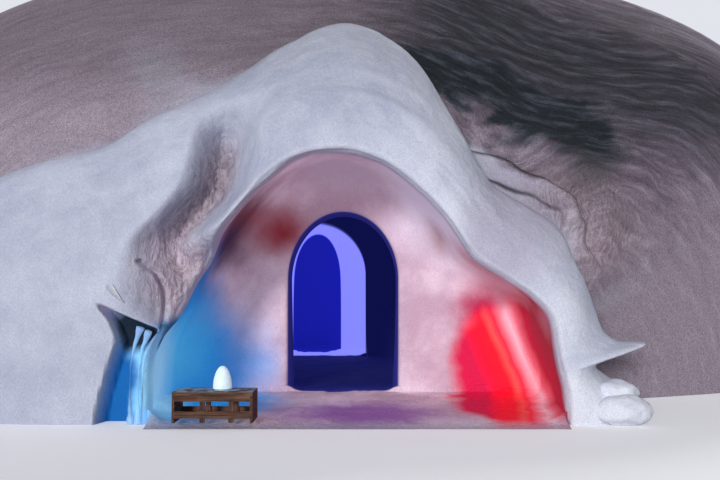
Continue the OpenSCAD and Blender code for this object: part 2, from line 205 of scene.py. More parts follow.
def outer(a, y):
    """Power mean of mound and hood, less the valley dug by the wind behind the hood's right."""
    hood = brow(a) * (1 - .16 * np.maximum(0, y - y_brow(a)) ** 2)
    valley = .42 * bump((a - 60) / 24) * bump((y + 3.5) / 1.3)
    return (mound(a, y) ** 8 + np.maximum(0, hood) ** 8) ** (1 / 8) - valley


def reach(a):
    return brow(a) - rim(a)


# The wing's inner edge as X by height; the hollow's shape, as hollow_share takes it, for the
# form and for its rosy painted shade; the niche's top turn and its width by turn
WING_EDGE = [[0, -2.3], [1.3, -2.25], [1.65, -2.18], [1.97, -1.88], [2.24, -1.69], [2.82, -1.6],
             [3.2, -1.5]]
HOLLOW, HOLLOW_COLOUR = (.3, .34, .42, 2.6), (.28, .32, .24, 2.4)
HOLLOW_DEPTH, NICHE_DEPTH, NICHE_TOP = .5, .23, 155.2
NICHE_EDGE = [[155, .62], [158, .42], [161.5, .3], [170, .35], [180, .42]]


def hollow_share(a, d, slope, right, soft, top):
    """1 in the hollow at the wing's inner edge, which opens into the mouth below.

    It rises over slope metres right of the edge, ends at right, softly, and fades out at top."""
    r = rim(a) + d
    z = r * sind(a)
    t = r * cosd(a) - curve(WING_EDGE, z)
    share = (ease(t / (slope + .3 * (1 - ease((z - 1.3) / .7))))
             * (1 - ease((z - 1.45) / .4) * ease((t - right) / soft))
             * (1 - ease((z - top) / .5)) * (1 - ease((a - 149) / 11)))
    return np.where(a < 105, 0, share)


def niche_recess(a, d):
    """Share of the niche's depth: a box cut beside the left foot, open at the ground."""
    return (ease((d - .05) / .04) * (1 - ease((d - curve(NICHE_EDGE, a)) / .06))
            * ease(a - NICHE_TOP))


def dents(a, d):
    """Depth added to the front at d metres from the rim: the hollow and the niche."""
    return HOLLOW_DEPTH * hollow_share(a, d, *HOLLOW) + NICHE_DEPTH * niche_recess(a, d)


def front_y(a, d):
    """Y of the front at d from the rim: a rolled lip, then a bell curve of power 2.2."""
    roll = .09 * (1 - np.clip(d / LIP, 0, 1)) ** 2
    lean = curve(BROW_BACK, a) * (np.maximum(0, d - LIP) / (reach(a) - LIP)) ** 2.2
    return Y_LIP + roll + lean + dents(a, d)


def vault_r(a, y, y0):
    return rim(a) + VAULT_FLARE * ease((y - y0) / (Y_STRAIGHT - y0))


# %% [markdown]
# Snow that was packed, cut and walked on is never smooth, so the surfaces get real relief.
# The relief is lattice noise: a random height at each corner of a grid of cubes, blended
# smoothly between the corners, with a few octaves added. It is seeded by the corner's place, so
# it is the same in each run.
# %% Noise
def noise(p, cell, seed):
    """Value noise in -1..1 at points p, smoothly blended between corners cell metres apart."""
    q = p / np.asarray(cell, float)
    base = np.floor(q).astype(np.int64)
    f = q - base
    f = f * f * f * (f * (6 * f - 15) + 10)
    total = np.zeros(p.shape[:-1])
    for corner in range(8):
        step = np.array([corner & 1, corner >> 1 & 1, corner >> 2])
        k = base + step
        h = (k[..., 0] * 73856093 ^ k[..., 1] * 19349663 ^ k[..., 2] * 83492791) + seed * 2654435761
        h = (h ^ h >> 13) * 1274126177 & 0xFFFFFFFF
        h = (h ^ h >> 16) * 2246822519 & 0xFFFFFFFF
        weight = np.where(step, f, 1 - f).prod(-1)
        total += weight * ((h >> 8 & 0xFFFF) / 32767.5 - 1)
    return total


def octaves(p, cell, count, seed):
    """Noise of halving cell and height, added up."""
    cell = np.asarray(cell, float)
    return sum(noise(p, cell / 2**i, seed + i) / 2**i for i in range(count))


def on_plane(u, v):
    """Points (u, v, 0), for noise over two coordinates."""
    return np.stack(np.broadcast_arrays(u, v, 0 * v), -1)


def place(a, y, r):
    """Points (r cos a, y, r sin a), stacked in the last axis."""
    a, y, r = np.broadcast_arrays(a, y, r)
    return np.stack([r * cosd(a), y, r * sind(a)], -1)


# %% [markdown]
# A skin is a grid of profile points, one row per turn. The relief moves each point along the
# profile's own normal, inside its flat radial plane, so that the sides of the slices stay flat
# and neighbours still meet. Close to a joint across Y the move turns radial for the same reason.
# %% Skins
JOINTS, JOINT_FADE = np.array([Y_JOIN, Y_ROOM, Y_MID, Y_ARCH]), .3


def skin(a, y, r, relief, side=1):
    """Displaced points and shading normals of a profile grid.

    The profile's normal is its tangent turned a quarter; side is 1 where it points out of the
    snow. Its Y part fades to nothing over the last 30 cm before a joint."""
    a2 = a[:, None] + 0 * y
    ty, tr = np.gradient(y, axis=1), np.gradient(r, axis=1)
    ny, nr = -side * tr, side * ty
    length = np.hypot(ny, nr) + 1e-12
    weight = np.clip(np.abs(y[..., None] - JOINTS).min(-1) / JOINT_FADE, 0, 1)
    outwards = np.sign(np.median(nr, axis=0, keepdims=True))
    ny, nr = ny / length * weight, nr / length * weight + outwards * (1 - weight)
    length = np.hypot(ny, nr) + 1e-12
    h = relief(a2, y, r, place(a2, y, r))
    y, r = y + h * ny / length, np.maximum(0, r + h * nr / length)
    p = place(a2, y, r)
    return p, unit(np.cross(np.gradient(p, axis=1), np.gradient(p, axis=0)) * side)


def steps(start, end, n):
    """n values from start to just before end; arrays of turns give one row each."""
    t = np.arange(n) / n
    return np.asarray(start)[..., None] * (1 - t) + np.asarray(end)[..., None] * t


def through(points, counts):
    """Hermite curve through control points (turns, k, 2), counts[i] steps from point i."""
    chord = np.linalg.norm(np.diff(points, axis=1), axis=2) + 1e-9
    t = np.concatenate([np.zeros_like(chord[:, :1]), np.cumsum(chord, axis=1)], 1)[..., None]
    m = np.empty_like(points)
    m[:, 1:-1] = (points[:, 2:] - points[:, :-2]) / (t[:, 2:] - t[:, :-2])
    m[:, 0] = (points[:, 1] - points[:, 0]) / t[:, 1]
    m[:, -1] = (points[:, -1] - points[:, -2]) / (t[:, -1] - t[:, -2])
    rows = []
    for i, n in enumerate(counts):
        last = i == len(counts) - 1
        s = np.linspace(0, 1, n + 1 if last else n, endpoint=last)[None, :, None]
        h = (t[:, i + 1] - t[:, i])[:, None]
        start, leave, end, arrive = hermite(s)
        rows.append(start * points[:, None, i] + leave * h * m[:, None, i]
                    + end * points[:, None, i + 1] + arrive * h * m[:, None, i + 1])
    out = np.concatenate(rows, 1)
    return out[..., 0], out[..., 1]


# %% [markdown]
# A slice is closed: its profile loop is carried over its turns, and both end planes get a cap of
# one face. Faces on cut planes keep their own flat normals; the snow's skin gets the normals of
# the whole body, so that no line shows where two slices meet.
# %% Make a closed slice
def quads_of(index):
    """Faces between neighbouring rows of a grid of vertex numbers, each row a closed ring."""
    return np.stack([index[:-1], index[1:], np.roll(index[1:], -1, 1),
                     np.roll(index[:-1], -1, 1)], -1).reshape(-1, 4)


def loft(name, rings, normals, flat, fields):
    """Mesh object from rings (turns, points, 3); flat[j] marks the strip from point j to j + 1.

    fields holds values (turns, points) that become point attributes for the materials."""
    turns, n = rings.shape[:2]
    index = np.arange(turns * n).reshape(turns, n)
    on_axis = np.hypot(rings[..., 0], rings[..., 2]).max(axis=0) < 1e-6
    index[:, on_axis] = index[0, on_axis]
    quads = quads_of(index)
    flats = np.tile(np.asarray(flat, bool), turns - 1)
    keep = ~((quads[:, 0] == quads[:, 1]) & (quads[:, 2] == quads[:, 3]))
    quads, flats = quads[keep], flats[keep]
    points = rings.reshape(-1, 3)
    a, b, c, d = (points[quads[:, i]] for i in range(4))
    outwards = np.cross(c - a, d - b)
    centre = (a + b + c + d) / 4
    inside = sum(np.sum(centre * outwards, 1)) / 6      # the volume's sign tells in from out
    faces = [list(dict.fromkeys(q)) for q in quads.tolist()]
    faces += [index[0].tolist(), index[-1][::-1].tolist()]
    cap_normals = []
    for cap in faces[-2:]:
        cp = points[cap]
        cn = np.cross(cp, np.roll(cp, -1, 0)).sum(0)
        cap_normals.append(unit(cn))
        inside += np.dot(cp.mean(0), cn) / 6
    if inside < 0:
        faces = [f[::-1] for f in faces]
        outwards = -outwards
        cap_normals = [-cn for cn in cap_normals]
    used = np.unique(np.concatenate([quads.ravel(), index[0], index[-1]]))
    renumber = np.zeros(turns * n, int)
    renumber[used] = np.arange(len(used))
    mesh = bpy.data.meshes.new(name)
    mesh.from_pydata(points[used], [], [renumber[f].tolist() for f in faces])
    flat_normals = np.concatenate([unit(outwards), cap_normals])
    vertex_normals = normals.reshape(-1, 3)[used]
    sizes = np.array([len(f) for f in faces])
    face_of_corner = np.repeat(np.arange(len(faces)), sizes)
    corner_vertex = np.empty(len(mesh.loops), int)
    mesh.loops.foreach_get("vertex_index", corner_vertex)
    is_flat = np.concatenate([flats, [True, True]])[face_of_corner]
    corner_normals = np.where(is_flat[:, None], flat_normals[face_of_corner],
                              vertex_normals[corner_vertex])
    corner_edge = np.empty(len(mesh.loops), int)
    mesh.loops.foreach_get("edge_index", corner_edge)
    sharp = np.bincount(corner_edge, weights=is_flat, minlength=len(mesh.edges)) > 0
    mesh.attributes.new("sharp_edge", "BOOLEAN", "EDGE").data.foreach_set("value", sharp)
    mesh.polygons.foreach_set("use_smooth", np.ones(len(mesh.polygons), bool))
    mesh.update()
    mesh.normals_split_custom_set(corner_normals)
    for key, values in fields.items():
        attribute = mesh.attributes.new(key, "FLOAT", "POINT")
        attribute.data.foreach_set("value", values.reshape(-1)[used])
    piece = bpy.data.objects.new(name, mesh)
    scene.collection.objects.link(piece)
    return piece


made = []       # the snow pieces, which get their material further down
# Besides the snow's own tones, the fields carry painted light and shade: the mound's grey and the
# hollow's rosy tint are partly painted shade, the dark valley, high flank and ledge edges are
# painted shadow, and the whitest snow is partly painted light.
FIELDS = ("inside", "drift", "crumb", "ice", "fresh", "turn")


def fields_of(rings, **given):
    """The point attributes that the snow reads, 0 where they aren't given."""
    return {key: given.get(key, 0.0) + 0 * rings[..., 0] for key in FIELDS}


def cut(parts, turns, rings, normals, flat, **given):
    """Slices the whole body's grid at each part's turns and puts each slice in for its node."""
    fields = fields_of(rings, turn=turns[:, None], **given)
    for node, (low, high) in parts.items():
        pick = (turns >= low - 1e-9) & (turns <= high + 1e-9)
        piece = loft("snow_" + node, rings[pick], normals[pick], flat,
                     {key: f[pick] for key, f in fields.items()})
        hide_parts(node)
        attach(piece, "root")
        made.append(piece)
        print(node, len(piece.data.polygons), "faces")


# %% [markdown]
# All slices share one set of turns, closest together where the photograph shows the finest
# carving: the spur on the right leg and the hollow beside the hood.
# %% Turns
TURN_STEPS = [(0, 8, 20), (8, 26, 72), (26, 44, 44), (44, 57, 30), (57, 110, 132), (110, 127, 62),
              (127, 136, 30), (136, 161, 84), (161, 180, 60)]
turns = np.unique(np.concatenate([np.linspace(a, b, n + 1) for a, b, n in TURN_STEPS]).round(6))
print(len(turns), "turns")


# %% [markdown]
# The wind came along the turns, so its marks run that way: long and narrow waves, and on the
# right flank a few ledges, where a harder layer of snow stands and the softer one behind it was
# blown out. The front was patted smooth by hand and drawn over with a shovel, in arcs that
# follow the mouth. The vault was scooped.
# %% Relief of the snow
WIND = np.array([.095, 1.0, 0])      # metres along the turn per degree, and along Y
CRUST = .1                           # units of the edges' noise per degree of turn
SWEEP = [[0, 0], [62, 1.7]]          # by turn, how far the wind's marks are swept along Y
LEDGES = [  # turn and place along Y of each ledge's edge, its height, and its first and last turn
    ([[17, -3.9], [28, -4.23], [38, -4.45], [49, -4.56], [62, -4.61], [72, -4.74]], .055, 26, 72),
    ([[38, -4.72], [42, -4.62], [47, -4.66], [55, -4.7], [66, -4.78]], .03, 39, 68),
    ([[17, -3.5], [30, -3.9], [45, -4.12], [60, -4.2]], .02, 16, 47),
    ([[40, -3.5], [52, -3.75], [70, -3.9], [86, -4.0]], .04, 44, 80),
    ([[10, -2.6], [25, -2.9], [45, -3.0], [60, -2.9]], .04, 13, 52),
    ([[30, -1.6], [50, -2.0], [75, -2.2]], .04, 33, 70),
]


def wind_place(a, y):
    """Coordinates that run with the wind: along the turn, and along Y with a slow wander."""
    q = on_plane(a * WIND[0], y + SWEEP[1][1] * ease(a / SWEEP[1][0]))
    return q + .12 * noise(q, (2.5, 1.2, 1), 3)[..., None] * (0, 1, 0)


def ledge_height(a, y):
    """Rises over 45 cm to the ledge's edge, drops within 5 cm, and recovers over 60 cm."""
    total = 0 * y
    for line, height, first, last in LEDGES:
        u = y - curve(line, a) - .05 * noise(on_plane(a * CRUST, 0 * y), .5, 8)
        shape = np.where(u < 0, ease(1 + u / .45),
                         -.6 * (1 - ease(u / .6)) * ease(u / .05) + (1 - ease(u / .05)))
        total += height * shape * ease((a - first) / 6) * ease((last - a) / 6)
    return total


def cracks(a, y):
    """Painted shadow under the edges of the first two ledges: 1 along each edge, fading out over
    1 to 4 cm to either side.
    """
    total = 0 * y
    for line, height, first, last in LEDGES[:2]:
        q = on_plane(a * CRUST, 0 * y)
        rag = .05 * noise(q, .5, 8)
        thick = .25 * height + .013 + .01 * noise(q, .35, 12)
        edge = bump((y - curve(line, a) - rag - .02) / thick)
        total = np.maximum(total, edge * ease((a - first) / 8) * ease((last - a) / 8))
    return total


def crumbly(a, y):
    """1 around the first ledge's edge and behind it, where the crust broke up."""
    u = y - curve(LEDGES[0][0], a)
    return (ease((u + .2) / .2) * (1 - ease((u - .05) / .3))
            * ease((a - 24) / 10) * ease((58 - a) / 14))


def icy(a, y):
    """Share of painted shadow: the core of the valley behind the hood's right, where the hood's
    shadow falls, and the high flank, which less light reached.
    """
    rag = .12 * octaves(wind_place(a, y), (.8, .16, 1), 3, 91)
    slant = .012 * np.maximum(0, a - 72) + .03 * np.maximum(0, 50 - a)
    core = (ease((a - 38) / 8) * ease((90 - a) / 8) * ease((y + 4.46 + rag) / .14)
            * (1 - ease((y + 3.98 + slant + rag) / .16)))
    height = outer(a, y) * sind(a)
    high = .8 * ease((height - 2.2) / 1.2) * ease((94 - a) / 20) * (1 - ease((y + 3.3 + rag) / 1.3))
    return np.maximum(core, high * ease((y + 4.55) / .4))


def mound_relief(a, y, r, p):
    """Wind waves and ledges, always cut inwards, so that the mound never grows past its size."""
    q = wind_place(a, y)
    right = 1 - .6 * ease((a - 80) / 30)
    waves = .028 * octaves(q, (3.0, .9, 1), 2, 5) + .009 * right * octaves(q, (1.6, .2, 1), 3, 9)
    start = ease((y + 4.95) / .4)
    return (waves - .06 - .06 * right + ledge_height(a, y)) * np.clip(r / .8, 0, 1) * start


GROOVE = [(-2.05, 1.48), (-1.92, 1.37), (-1.86, 1.22), (-1.85, 1.04), (-1.83, .8)]    # X and Z


def front_relief(a, y, r, p):
    """Hand-packed snow: hollows of a hand's width, and shovel arcs that follow the mouth."""
    d = r - rim(a)
    broad = .014 * octaves(p, .55, 3, 21) + .003 * octaves(p, .09, 2, 31)
    arcs = octaves(on_plane(a * .03, d), (1.3, .17, 1), 2, 51)
    drawn = .013 * arcs * ease((a - 40) / 25) * ease((128 - a) / 20)
    # The hollow is rough, with upright ribs, and a groove runs down the wing's end
    rough = hollow_share(a, np.maximum(d, 0), *HOLLOW)
    ribs = .016 * rough * octaves(p, (.06, .5, .34), 3, 61)
    return broad + drawn + ribs - .05 * line_hill(p, GROOVE, .035)


def line_hill(p, points, width):
    """1 on the line through (x, z) points, falling to 0 at width from it."""
    x, z = p[..., 0], p[..., 2]
    near = np.full(x.shape, 9.0)
    for (x0, z0), (x1, z1) in zip(points[:-1], points[1:]):
        dx, dz = x1 - x0, z1 - z0
        t = np.clip(((x - x0) * dx + (z - z0) * dz) / (dx**2 + dz**2), 0, 1)
        near = np.minimum(near, np.hypot(x - x0 - t * dx, z - z0 - t * dz))
    return bump(near / width)


def porch_relief(a, y, r, p):
    w = ease((y - y_brow(a) + .1) / .35)
    return front_relief(a, y, r, p) * (1 - w) + mound_relief(a, y, r, p) * w


def vault_relief(a, y, r, p):
    """Scoops of the shovel, longest along the turn, which end before the door wall."""
    broad = .012 * octaves(p, (.5, .9, .5), 3, 41)
    scoops = .006 * octaves(on_plane(a * .035, y), (.5, .14, 1), 2, 43)
    return (broad + scoops) * ease((Y_APSE - y) / .3)


# %% [markdown]
# The hood and the wing are one body, the porch in front of the bank. Its profile is a closed loop
# at every turn: the vault out to the rim, over the rolled lip, up the front's face, over the
# brow's crest and back along the top. The same rows carry the fields that the snow's colour
# reads: clean or drifted with painted shade, crumbly with the hollow's painted shade, painted
# shadow, whiter with painted light, and lit from inside.
# %% Hood and wing
HOOD_PARTS = {"hood_right_leg": (0, 26), "hood_right_haunch": (26, 57), "hood_crown": (57, 110),
              "hollow_wall": (110, 127), "left_wing_bank": (127, NICHE_TURN),
              "left_wing_foot": (NICHE_TURN, 180)}
VAULT_ROWS, LIP_ROWS, FACE_ROWS, CREST_ROWS, TOP_ROWS = 56, 8, 118, 14, 56
# By turn, how far behind the brow the clean snow of the hood ends
REACH_OVER = [[0, .02], [8, .03], [14, .1], [20, .22], [26, .34], [32, .44], [36, .5], [40.5, .54],
              [48, .48], [53, .4], [60, .35], [65, .33], [71, .2], [78, .02], [180, .02]]


def hood_rings(a):
    """Profile loop: vault from the bank to the rim, front up to the brow, over it to the bank."""
    col = a[:, None]
    y0 = Y_RIM + dents(a, 0 * a)
    yv = steps(0 * a + Y_JOIN, y0, VAULT_ROWS)
    rv = vault_r(col, yv, y0[:, None])
    crest_start = LIP + .9 * (reach(a) - LIP)
    d = np.concatenate([steps(0 * a, 0 * a + LIP, LIP_ROWS),
                        steps(0 * a + LIP, crest_start, FACE_ROWS)], 1)
    yf, rf = front_y(col, d), rim(col) + d
    # The crest is a Bezier arc over the brow, from the face to a quarter of the way to the bank
    p0 = np.stack([front_y(a, crest_start), rim(a) + crest_start], -1)
    p1 = np.stack([y_brow(a), brow(a)], -1)
    y2 = y_brow(a) + .25 * (Y_JOIN - y_brow(a))
    p2 = np.stack([y2, outer(a, y2)], -1)
    s = (np.arange(CREST_ROWS) / CREST_ROWS)[None, :, None]
    crest = (1 - s) ** 2 * p0[:, None] + 2 * s * (1 - s) * p1[:, None] + s * s * p2[:, None]
    yo = np.concatenate([steps(y2, 0 * a + Y_JOIN, TOP_ROWS), 0 * col + Y_JOIN], 1)
    y = np.concatenate([yv, yf, crest[..., 0], yo], 1)
    r = np.concatenate([rv, rf, crest[..., 1], outer(col, yo)], 1)
    row = np.arange(y.shape[1]) - VAULT_ROWS     # counted from the rim

    def relief(a2, y, r, p):
        return np.where(row < 4, vault_relief(a2, y, r, p), porch_relief(a2, y, r, p))
    p, n = skin(a, y, r, relief)
    # The hood's right edge is crisp; to the left its clean snow fades into the mound's, and low
    # on the right the clean snow reaches over the brow to the first ledge
    left = ease((col - 84) / 34)
    wander = .02 + .1 * ease((42 - col) / 12) + .19 * left
    wander = wander * octaves(wind_place(col, y), (.9, .25, 1), 3, 71)
    past = y - y_brow(col)
    soft = .09 + .5 * ease((40 - col) / 16) + .95 * left
    behind = ease((past - curve(REACH_OVER, col) + .16 * left + wander) / soft)
    behind = np.maximum(behind, .3 * ease(past / .12))
    d = np.maximum(r - rim(col), 0)
    before = (y < Y_JOIN - .4) * ease(row / 12)
    # The hollow beside the hood gets painted shade: its share makes the snow there old and rosy
    dent = hollow_share(col, d, *HOLLOW_COLOUR) * ease((156 - col) / 10) * before
    # The coloured light ends short of the lip, but low on the left it spills over it
    inside = ease((2 + 14 * ease((col - 148) / 8) - row) / 12)
    return p, n, {
        "inside": np.maximum(inside, niche_recess(col, d) * before),
        "drift": ease(row / 6) * np.maximum(behind, .25 * dent),
        "crumb": ease(row / 6) * np.maximum(.8 * crumbly(col, y) * (y > y_brow(col)), dent),
        # Whiter snow, painted light: the bright face of the right leg, and a little on the lip,
        # against the shade of its roll
        "fresh": np.maximum(ease((17 - col) / 6) * (row > 4), .35 * bump((row - 4) / 9)),
        # Painted shadow: the valley behind the hood's right, the high flank and the ledges' edges
        "ice": np.maximum(icy(col, y), .9 * cracks(col, y)) * ease((past - .03) / .1)}


rings, normals, fields = hood_rings(turns)
cut(HOOD_PARTS, turns, rings, normals, [False] * (rings.shape[1] - 1) + [True], **fields)
DRIFT_AT_JOIN = fields["drift"][:, -1]    # kept for the bank, whose snow carries on from there


# %% [markdown]
# The mound is four shells, one behind the other, each with an inner skin (vault, room or the space
# behind it) and an outer skin. Each shell is cut into a right, a crown and a left slice.
# %% Bank, front, middle and back of the mound
def shell(parts, inner_y, inner_r, outer_y):
    """Slices between an inner and an outer skin, both from front to back in their own order."""
    col = turns[:, None]
    yi = np.broadcast_to(inner_y, (len(turns), len(inner_y))).copy()
    yo = np.broadcast_to(outer_y, (len(turns), len(outer_y))).copy()
    p_in, n_in = skin(turns, yi, inner_r(col, yi), vault_relief, side=-1)
    p_out, n_out = skin(turns, yo, np.maximum(0, outer(col, yo)), mound_relief, side=-1)
    rings = np.concatenate([p_in, p_out], 1)
    normals = np.concatenate([n_in, n_out], 1)
    flat = [False] * rings.shape[1]
    flat[len(inner_y) - 1] = flat[-1] = True
    inside = np.where(np.arange(rings.shape[1]) < len(inner_y), 1.0, 0.0)
    # The outer skin is old snow, its grey partly painted shade
    drift = np.concatenate([0 * yi, 1 + 0 * yo], 1)
    if outer_y[-1] == Y_JOIN:
        far = ease((outer_y - Y_JOIN) / .5)
        drift[:, len(inner_y):] = far + (1 - far) * DRIFT_AT_JOIN[:, None]
    crumb = np.concatenate([0 * yi, crumbly(col, yo)], 1)
    # Painted shadow of the valley behind the hood's right and of the high flank
    ice = np.concatenate([0 * yi, icy(col, yo)], 1)
    cut(parts, turns, rings, normals, flat, inside=inside, drift=drift, crumb=crumb, ice=ice)


def sides(stem, middle="crown"):
    return {f"{stem}_right": (0, RIGHT_END), f"{stem}_{middle}": (RIGHT_END, LEFT_START),
            f"{stem}_left": (LEFT_START, 180)}


def room_in(a, y):
    """The room's radius, with quarter-round ends into the porch wall and the inner wall."""
    front = np.sqrt(np.clip(1 - np.maximum(0, Y_ROOM + 1 - y) ** 2, 0, 1))
    behind = np.sqrt(np.clip(1 - np.maximum(0, y - Y_ARCH + 1) ** 2, 0, 1))
    return np.where(y < 0, vault(a) + (room(a) - vault(a)) * front,
                    rear(a) + (room(a) - rear(a)) * behind)


def rear_in(a, y):
    return rear(a) * np.sqrt(np.clip(1 - (np.maximum(0, y - Y_REAR) / (Y_END - Y_REAR)) ** 2, 0, 1))


def rounded(start, end, n, pole=0):
    """Places from start to end, crowded towards the start (-1), the end (1), or even (0)."""
    t = np.linspace(0, 1, n)
    t = {-1: 1 - np.cos(t * np.pi / 2), 0: t, 1: np.sin(t * np.pi / 2)}[pole]
    return start + (end - start) * t


shell(sides("bank"), rounded(Y_JOIN, Y_ROOM, 24), lambda a, y: vault(a) + 0 * y,
      rounded(Y_ROOM, Y_JOIN, 44))
shell(sides("dome_front"), rounded(Y_ROOM, Y_MID, 30, -1), room_in, rounded(Y_MID, Y_ROOM, 44))
shell(sides("dome_mid"), rounded(Y_MID, Y_ARCH, 30, 1), room_in, rounded(Y_ARCH, Y_MID, 40))
back_inside = np.concatenate([rounded(Y_ARCH, Y_REAR, 5)[:-1], rounded(Y_REAR, Y_END, 26, 1)])
shell(sides("dome_back"), back_inside, rear_in, rounded(Y_BACK, Y_ARCH, 60, -1))


# %% [markdown]
# Two walls cross the hollow, and each has an opening cut through. A wall's profile is a curve
# through a few points: from the vault down its front face, through the opening, and up its back.
# The door wall's front is dished like an apse: it lies deeper towards the doorway.
# %% Door wall and inner wall
EDGE = .07     # rounding of the inner opening's edges


def wall(stem, controls, counts):
    """Slices of a wall whose profile runs through control points (y, r); the last closes it."""
    points = np.stack([np.stack(np.broadcast_arrays(*q), -1) for q in controls], 1)
    y, r = through(points, counts)
    p, n = skin(turns, y, r, lambda a, y, r, p: 0 * y, side=-1)
    cut(sides(stem, "arch"), turns, p, n, [False] * (p.shape[1] - 1) + [True], inside=1.0)


hole, thick = doorway(turns), vault(turns) - doorway(turns)
wall("door_wall", [(Y_APSE, vault(turns)), (Y_APSE + .26, hole + thick * .93),
                   (Y_APSE + .42, hole + thick * .75), (Y_APSE + .48, hole + thick * .45),
                   (Y_DOOR, hole + thick * .08), (Y_DOOR + .04, hole), (Y_ROOM, hole),
                   (Y_ROOM, vault(turns))], [12, 8, 10, 12, 5, 12, 2])
hole = inner_opening(turns)
wall("inner_wall", [(Y_ARCH, rear(turns)), (Y_ARCH, hole + EDGE), (Y_ARCH + EDGE, hole),
                    (Y_REAR - EDGE, hole), (Y_REAR, hole + EDGE), (Y_REAR, rear(turns))],
     [10, 6, 6, 6, 2])

# %% [markdown]
# The floors are trodden snow: boot prints press it into hollows of up to 2 cm, and a little loose
# snow is left banked against the walls. Each floor is a grid of rows along Y, tucked a few
# centimetres under the walls.
# %% Floors
def trodden(x, y, edge):
    """Prints as shallow pits of a sole's length, plus snow banked within 25 cm of a wall."""
    p = on_plane(x, y)
    pits = (-.012 * ease(noise(p, (.16, .24, 1), 61) * 1.6 + .2)
            - .01 * ease(noise(p, (.5, .6, 1), 62) + .3))
    banked = .07 * ease(1 - edge / .25) ** 2 * (1 + .5 * noise(p, .3, 64))
    return pits + .004 * noise(p, .05, 63) + banked


def floor_slab(node, ys, half_width, across):
    """Rows along Y of [under left, top points, under right]; its top carries the prints.

    half_width gives the floor's reach to the side of a turn, 0 or 180, at each of ys."""
    right, left = half_width(np.float64(0), ys), -half_width(np.float64(180), ys)
    x = left[:, None] + (right - left)[:, None] * np.linspace(0, 1, across)
    y = ys[:, None] + 0 * x
    z = FLOOR_T + trodden(x, y, np.minimum(x - left[:, None], right[:, None] - x))
    if node == "porch_floor":        # its front edge is trodden down to the ground
        z = .004 + (z - .004) * ease((y - Y_FRONT) / .35)
    top = np.stack([x, y, z], -1)
    under = top[:, [0, -1]] * (1, 1, 0)
    rings = np.concatenate([under[:, :1], top, under[:, 1:]], 1)
    normals = unit(np.cross(np.gradient(rings, axis=1), np.gradient(rings, axis=0)))
    normals *= np.sign(normals[..., 2:]) + (normals[..., 2:] == 0)
    flat = [True] + [False] * (across - 1) + [True, True]
    lit = 1 - .75 * ease((Y_LIP + .1 - rings[..., 1]) / .3)
    piece = loft("trodden_" + node, rings, normals, flat,
                 fields_of(rings, inside=lit, crumb=.3, turn=90))
    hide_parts(node)
    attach(piece, "root")
    made.append(piece)
    print(node, len(piece.data.polygons), "faces")


def porch_edge(turn, ys):
    """Follows the lip, the vault and the door wall, tucked under them."""
    y = [Y_FRONT, Y_LIP, Y_RIM, Y_STRAIGHT, *(Y_APSE + more for more in (0, .26, .42, .48)), Y_DOOR]
    r, v, d = (float(f(turn)) for f in (rim, vault, doorway))
    w = v - d
    x = [r - .03, r - .03, r + .02, v + .03, v + .03, d + w * .95, d + w * .8, d + w * .5, d + .06]
    return np.interp(ys, y, x)


for node, start, end, rows, half_width, across in (
        ("porch_floor", Y_FRONT, Y_DOOR, 130, porch_edge, 200),
        ("passage_floor", Y_DOOR, Y_ROOM, 16, lambda turn, ys: doorway(turn) + .03 + 0 * ys, 50),
        ("room_floor", Y_ROOM, Y_ARCH, 80, lambda turn, ys: room_in(turn, ys) + .02, 140),
        ("inner_sill", Y_ARCH, Y_REAR, 10, lambda turn, ys: inner_opening(turn) + .03 + 0 * ys, 30),
        ("back_floor", Y_REAR, Y_END - .005, 40, lambda turn, ys: rear_in(turn, ys) + .01, 80)):
    floor_slab(node, np.linspace(start, end, rows), half_width, across)


# %% [markdown]
# Loose lumps are grids of two angles, closed at both poles, with the same lattice noise pushed
# along their own radius; the ribs are tubes. A voxel remesh merges what belongs together, as wet
# snow freezes together, and a little smoothing follows.
# %% Lumps, ribs and chip
def ball(centre, radii, seed):
    """Vertices and faces of an ellipsoid, its radii times 1 plus a tenth of three octaves."""
    n = 28
    u, v = np.meshgrid(np.linspace(0, np.pi, n), np.linspace(0, 2 * np.pi, 2 * n, endpoint=False),
                       indexing="ij")
    way = np.stack([np.sin(u) * np.cos(v), np.sin(u) * np.sin(v), np.cos(u)], -1)
    p = centre + way * radii * (1 + .10 * octaves(way, .6, 3, seed))[..., None]
    index = np.arange(n * 2 * n).reshape(n, 2 * n)
    index[0], index[-1] = index[0, 0], index[-1, 0]
    return p.reshape(-1, 3), [list(dict.fromkeys(q)) for q in quads_of(index).tolist()]


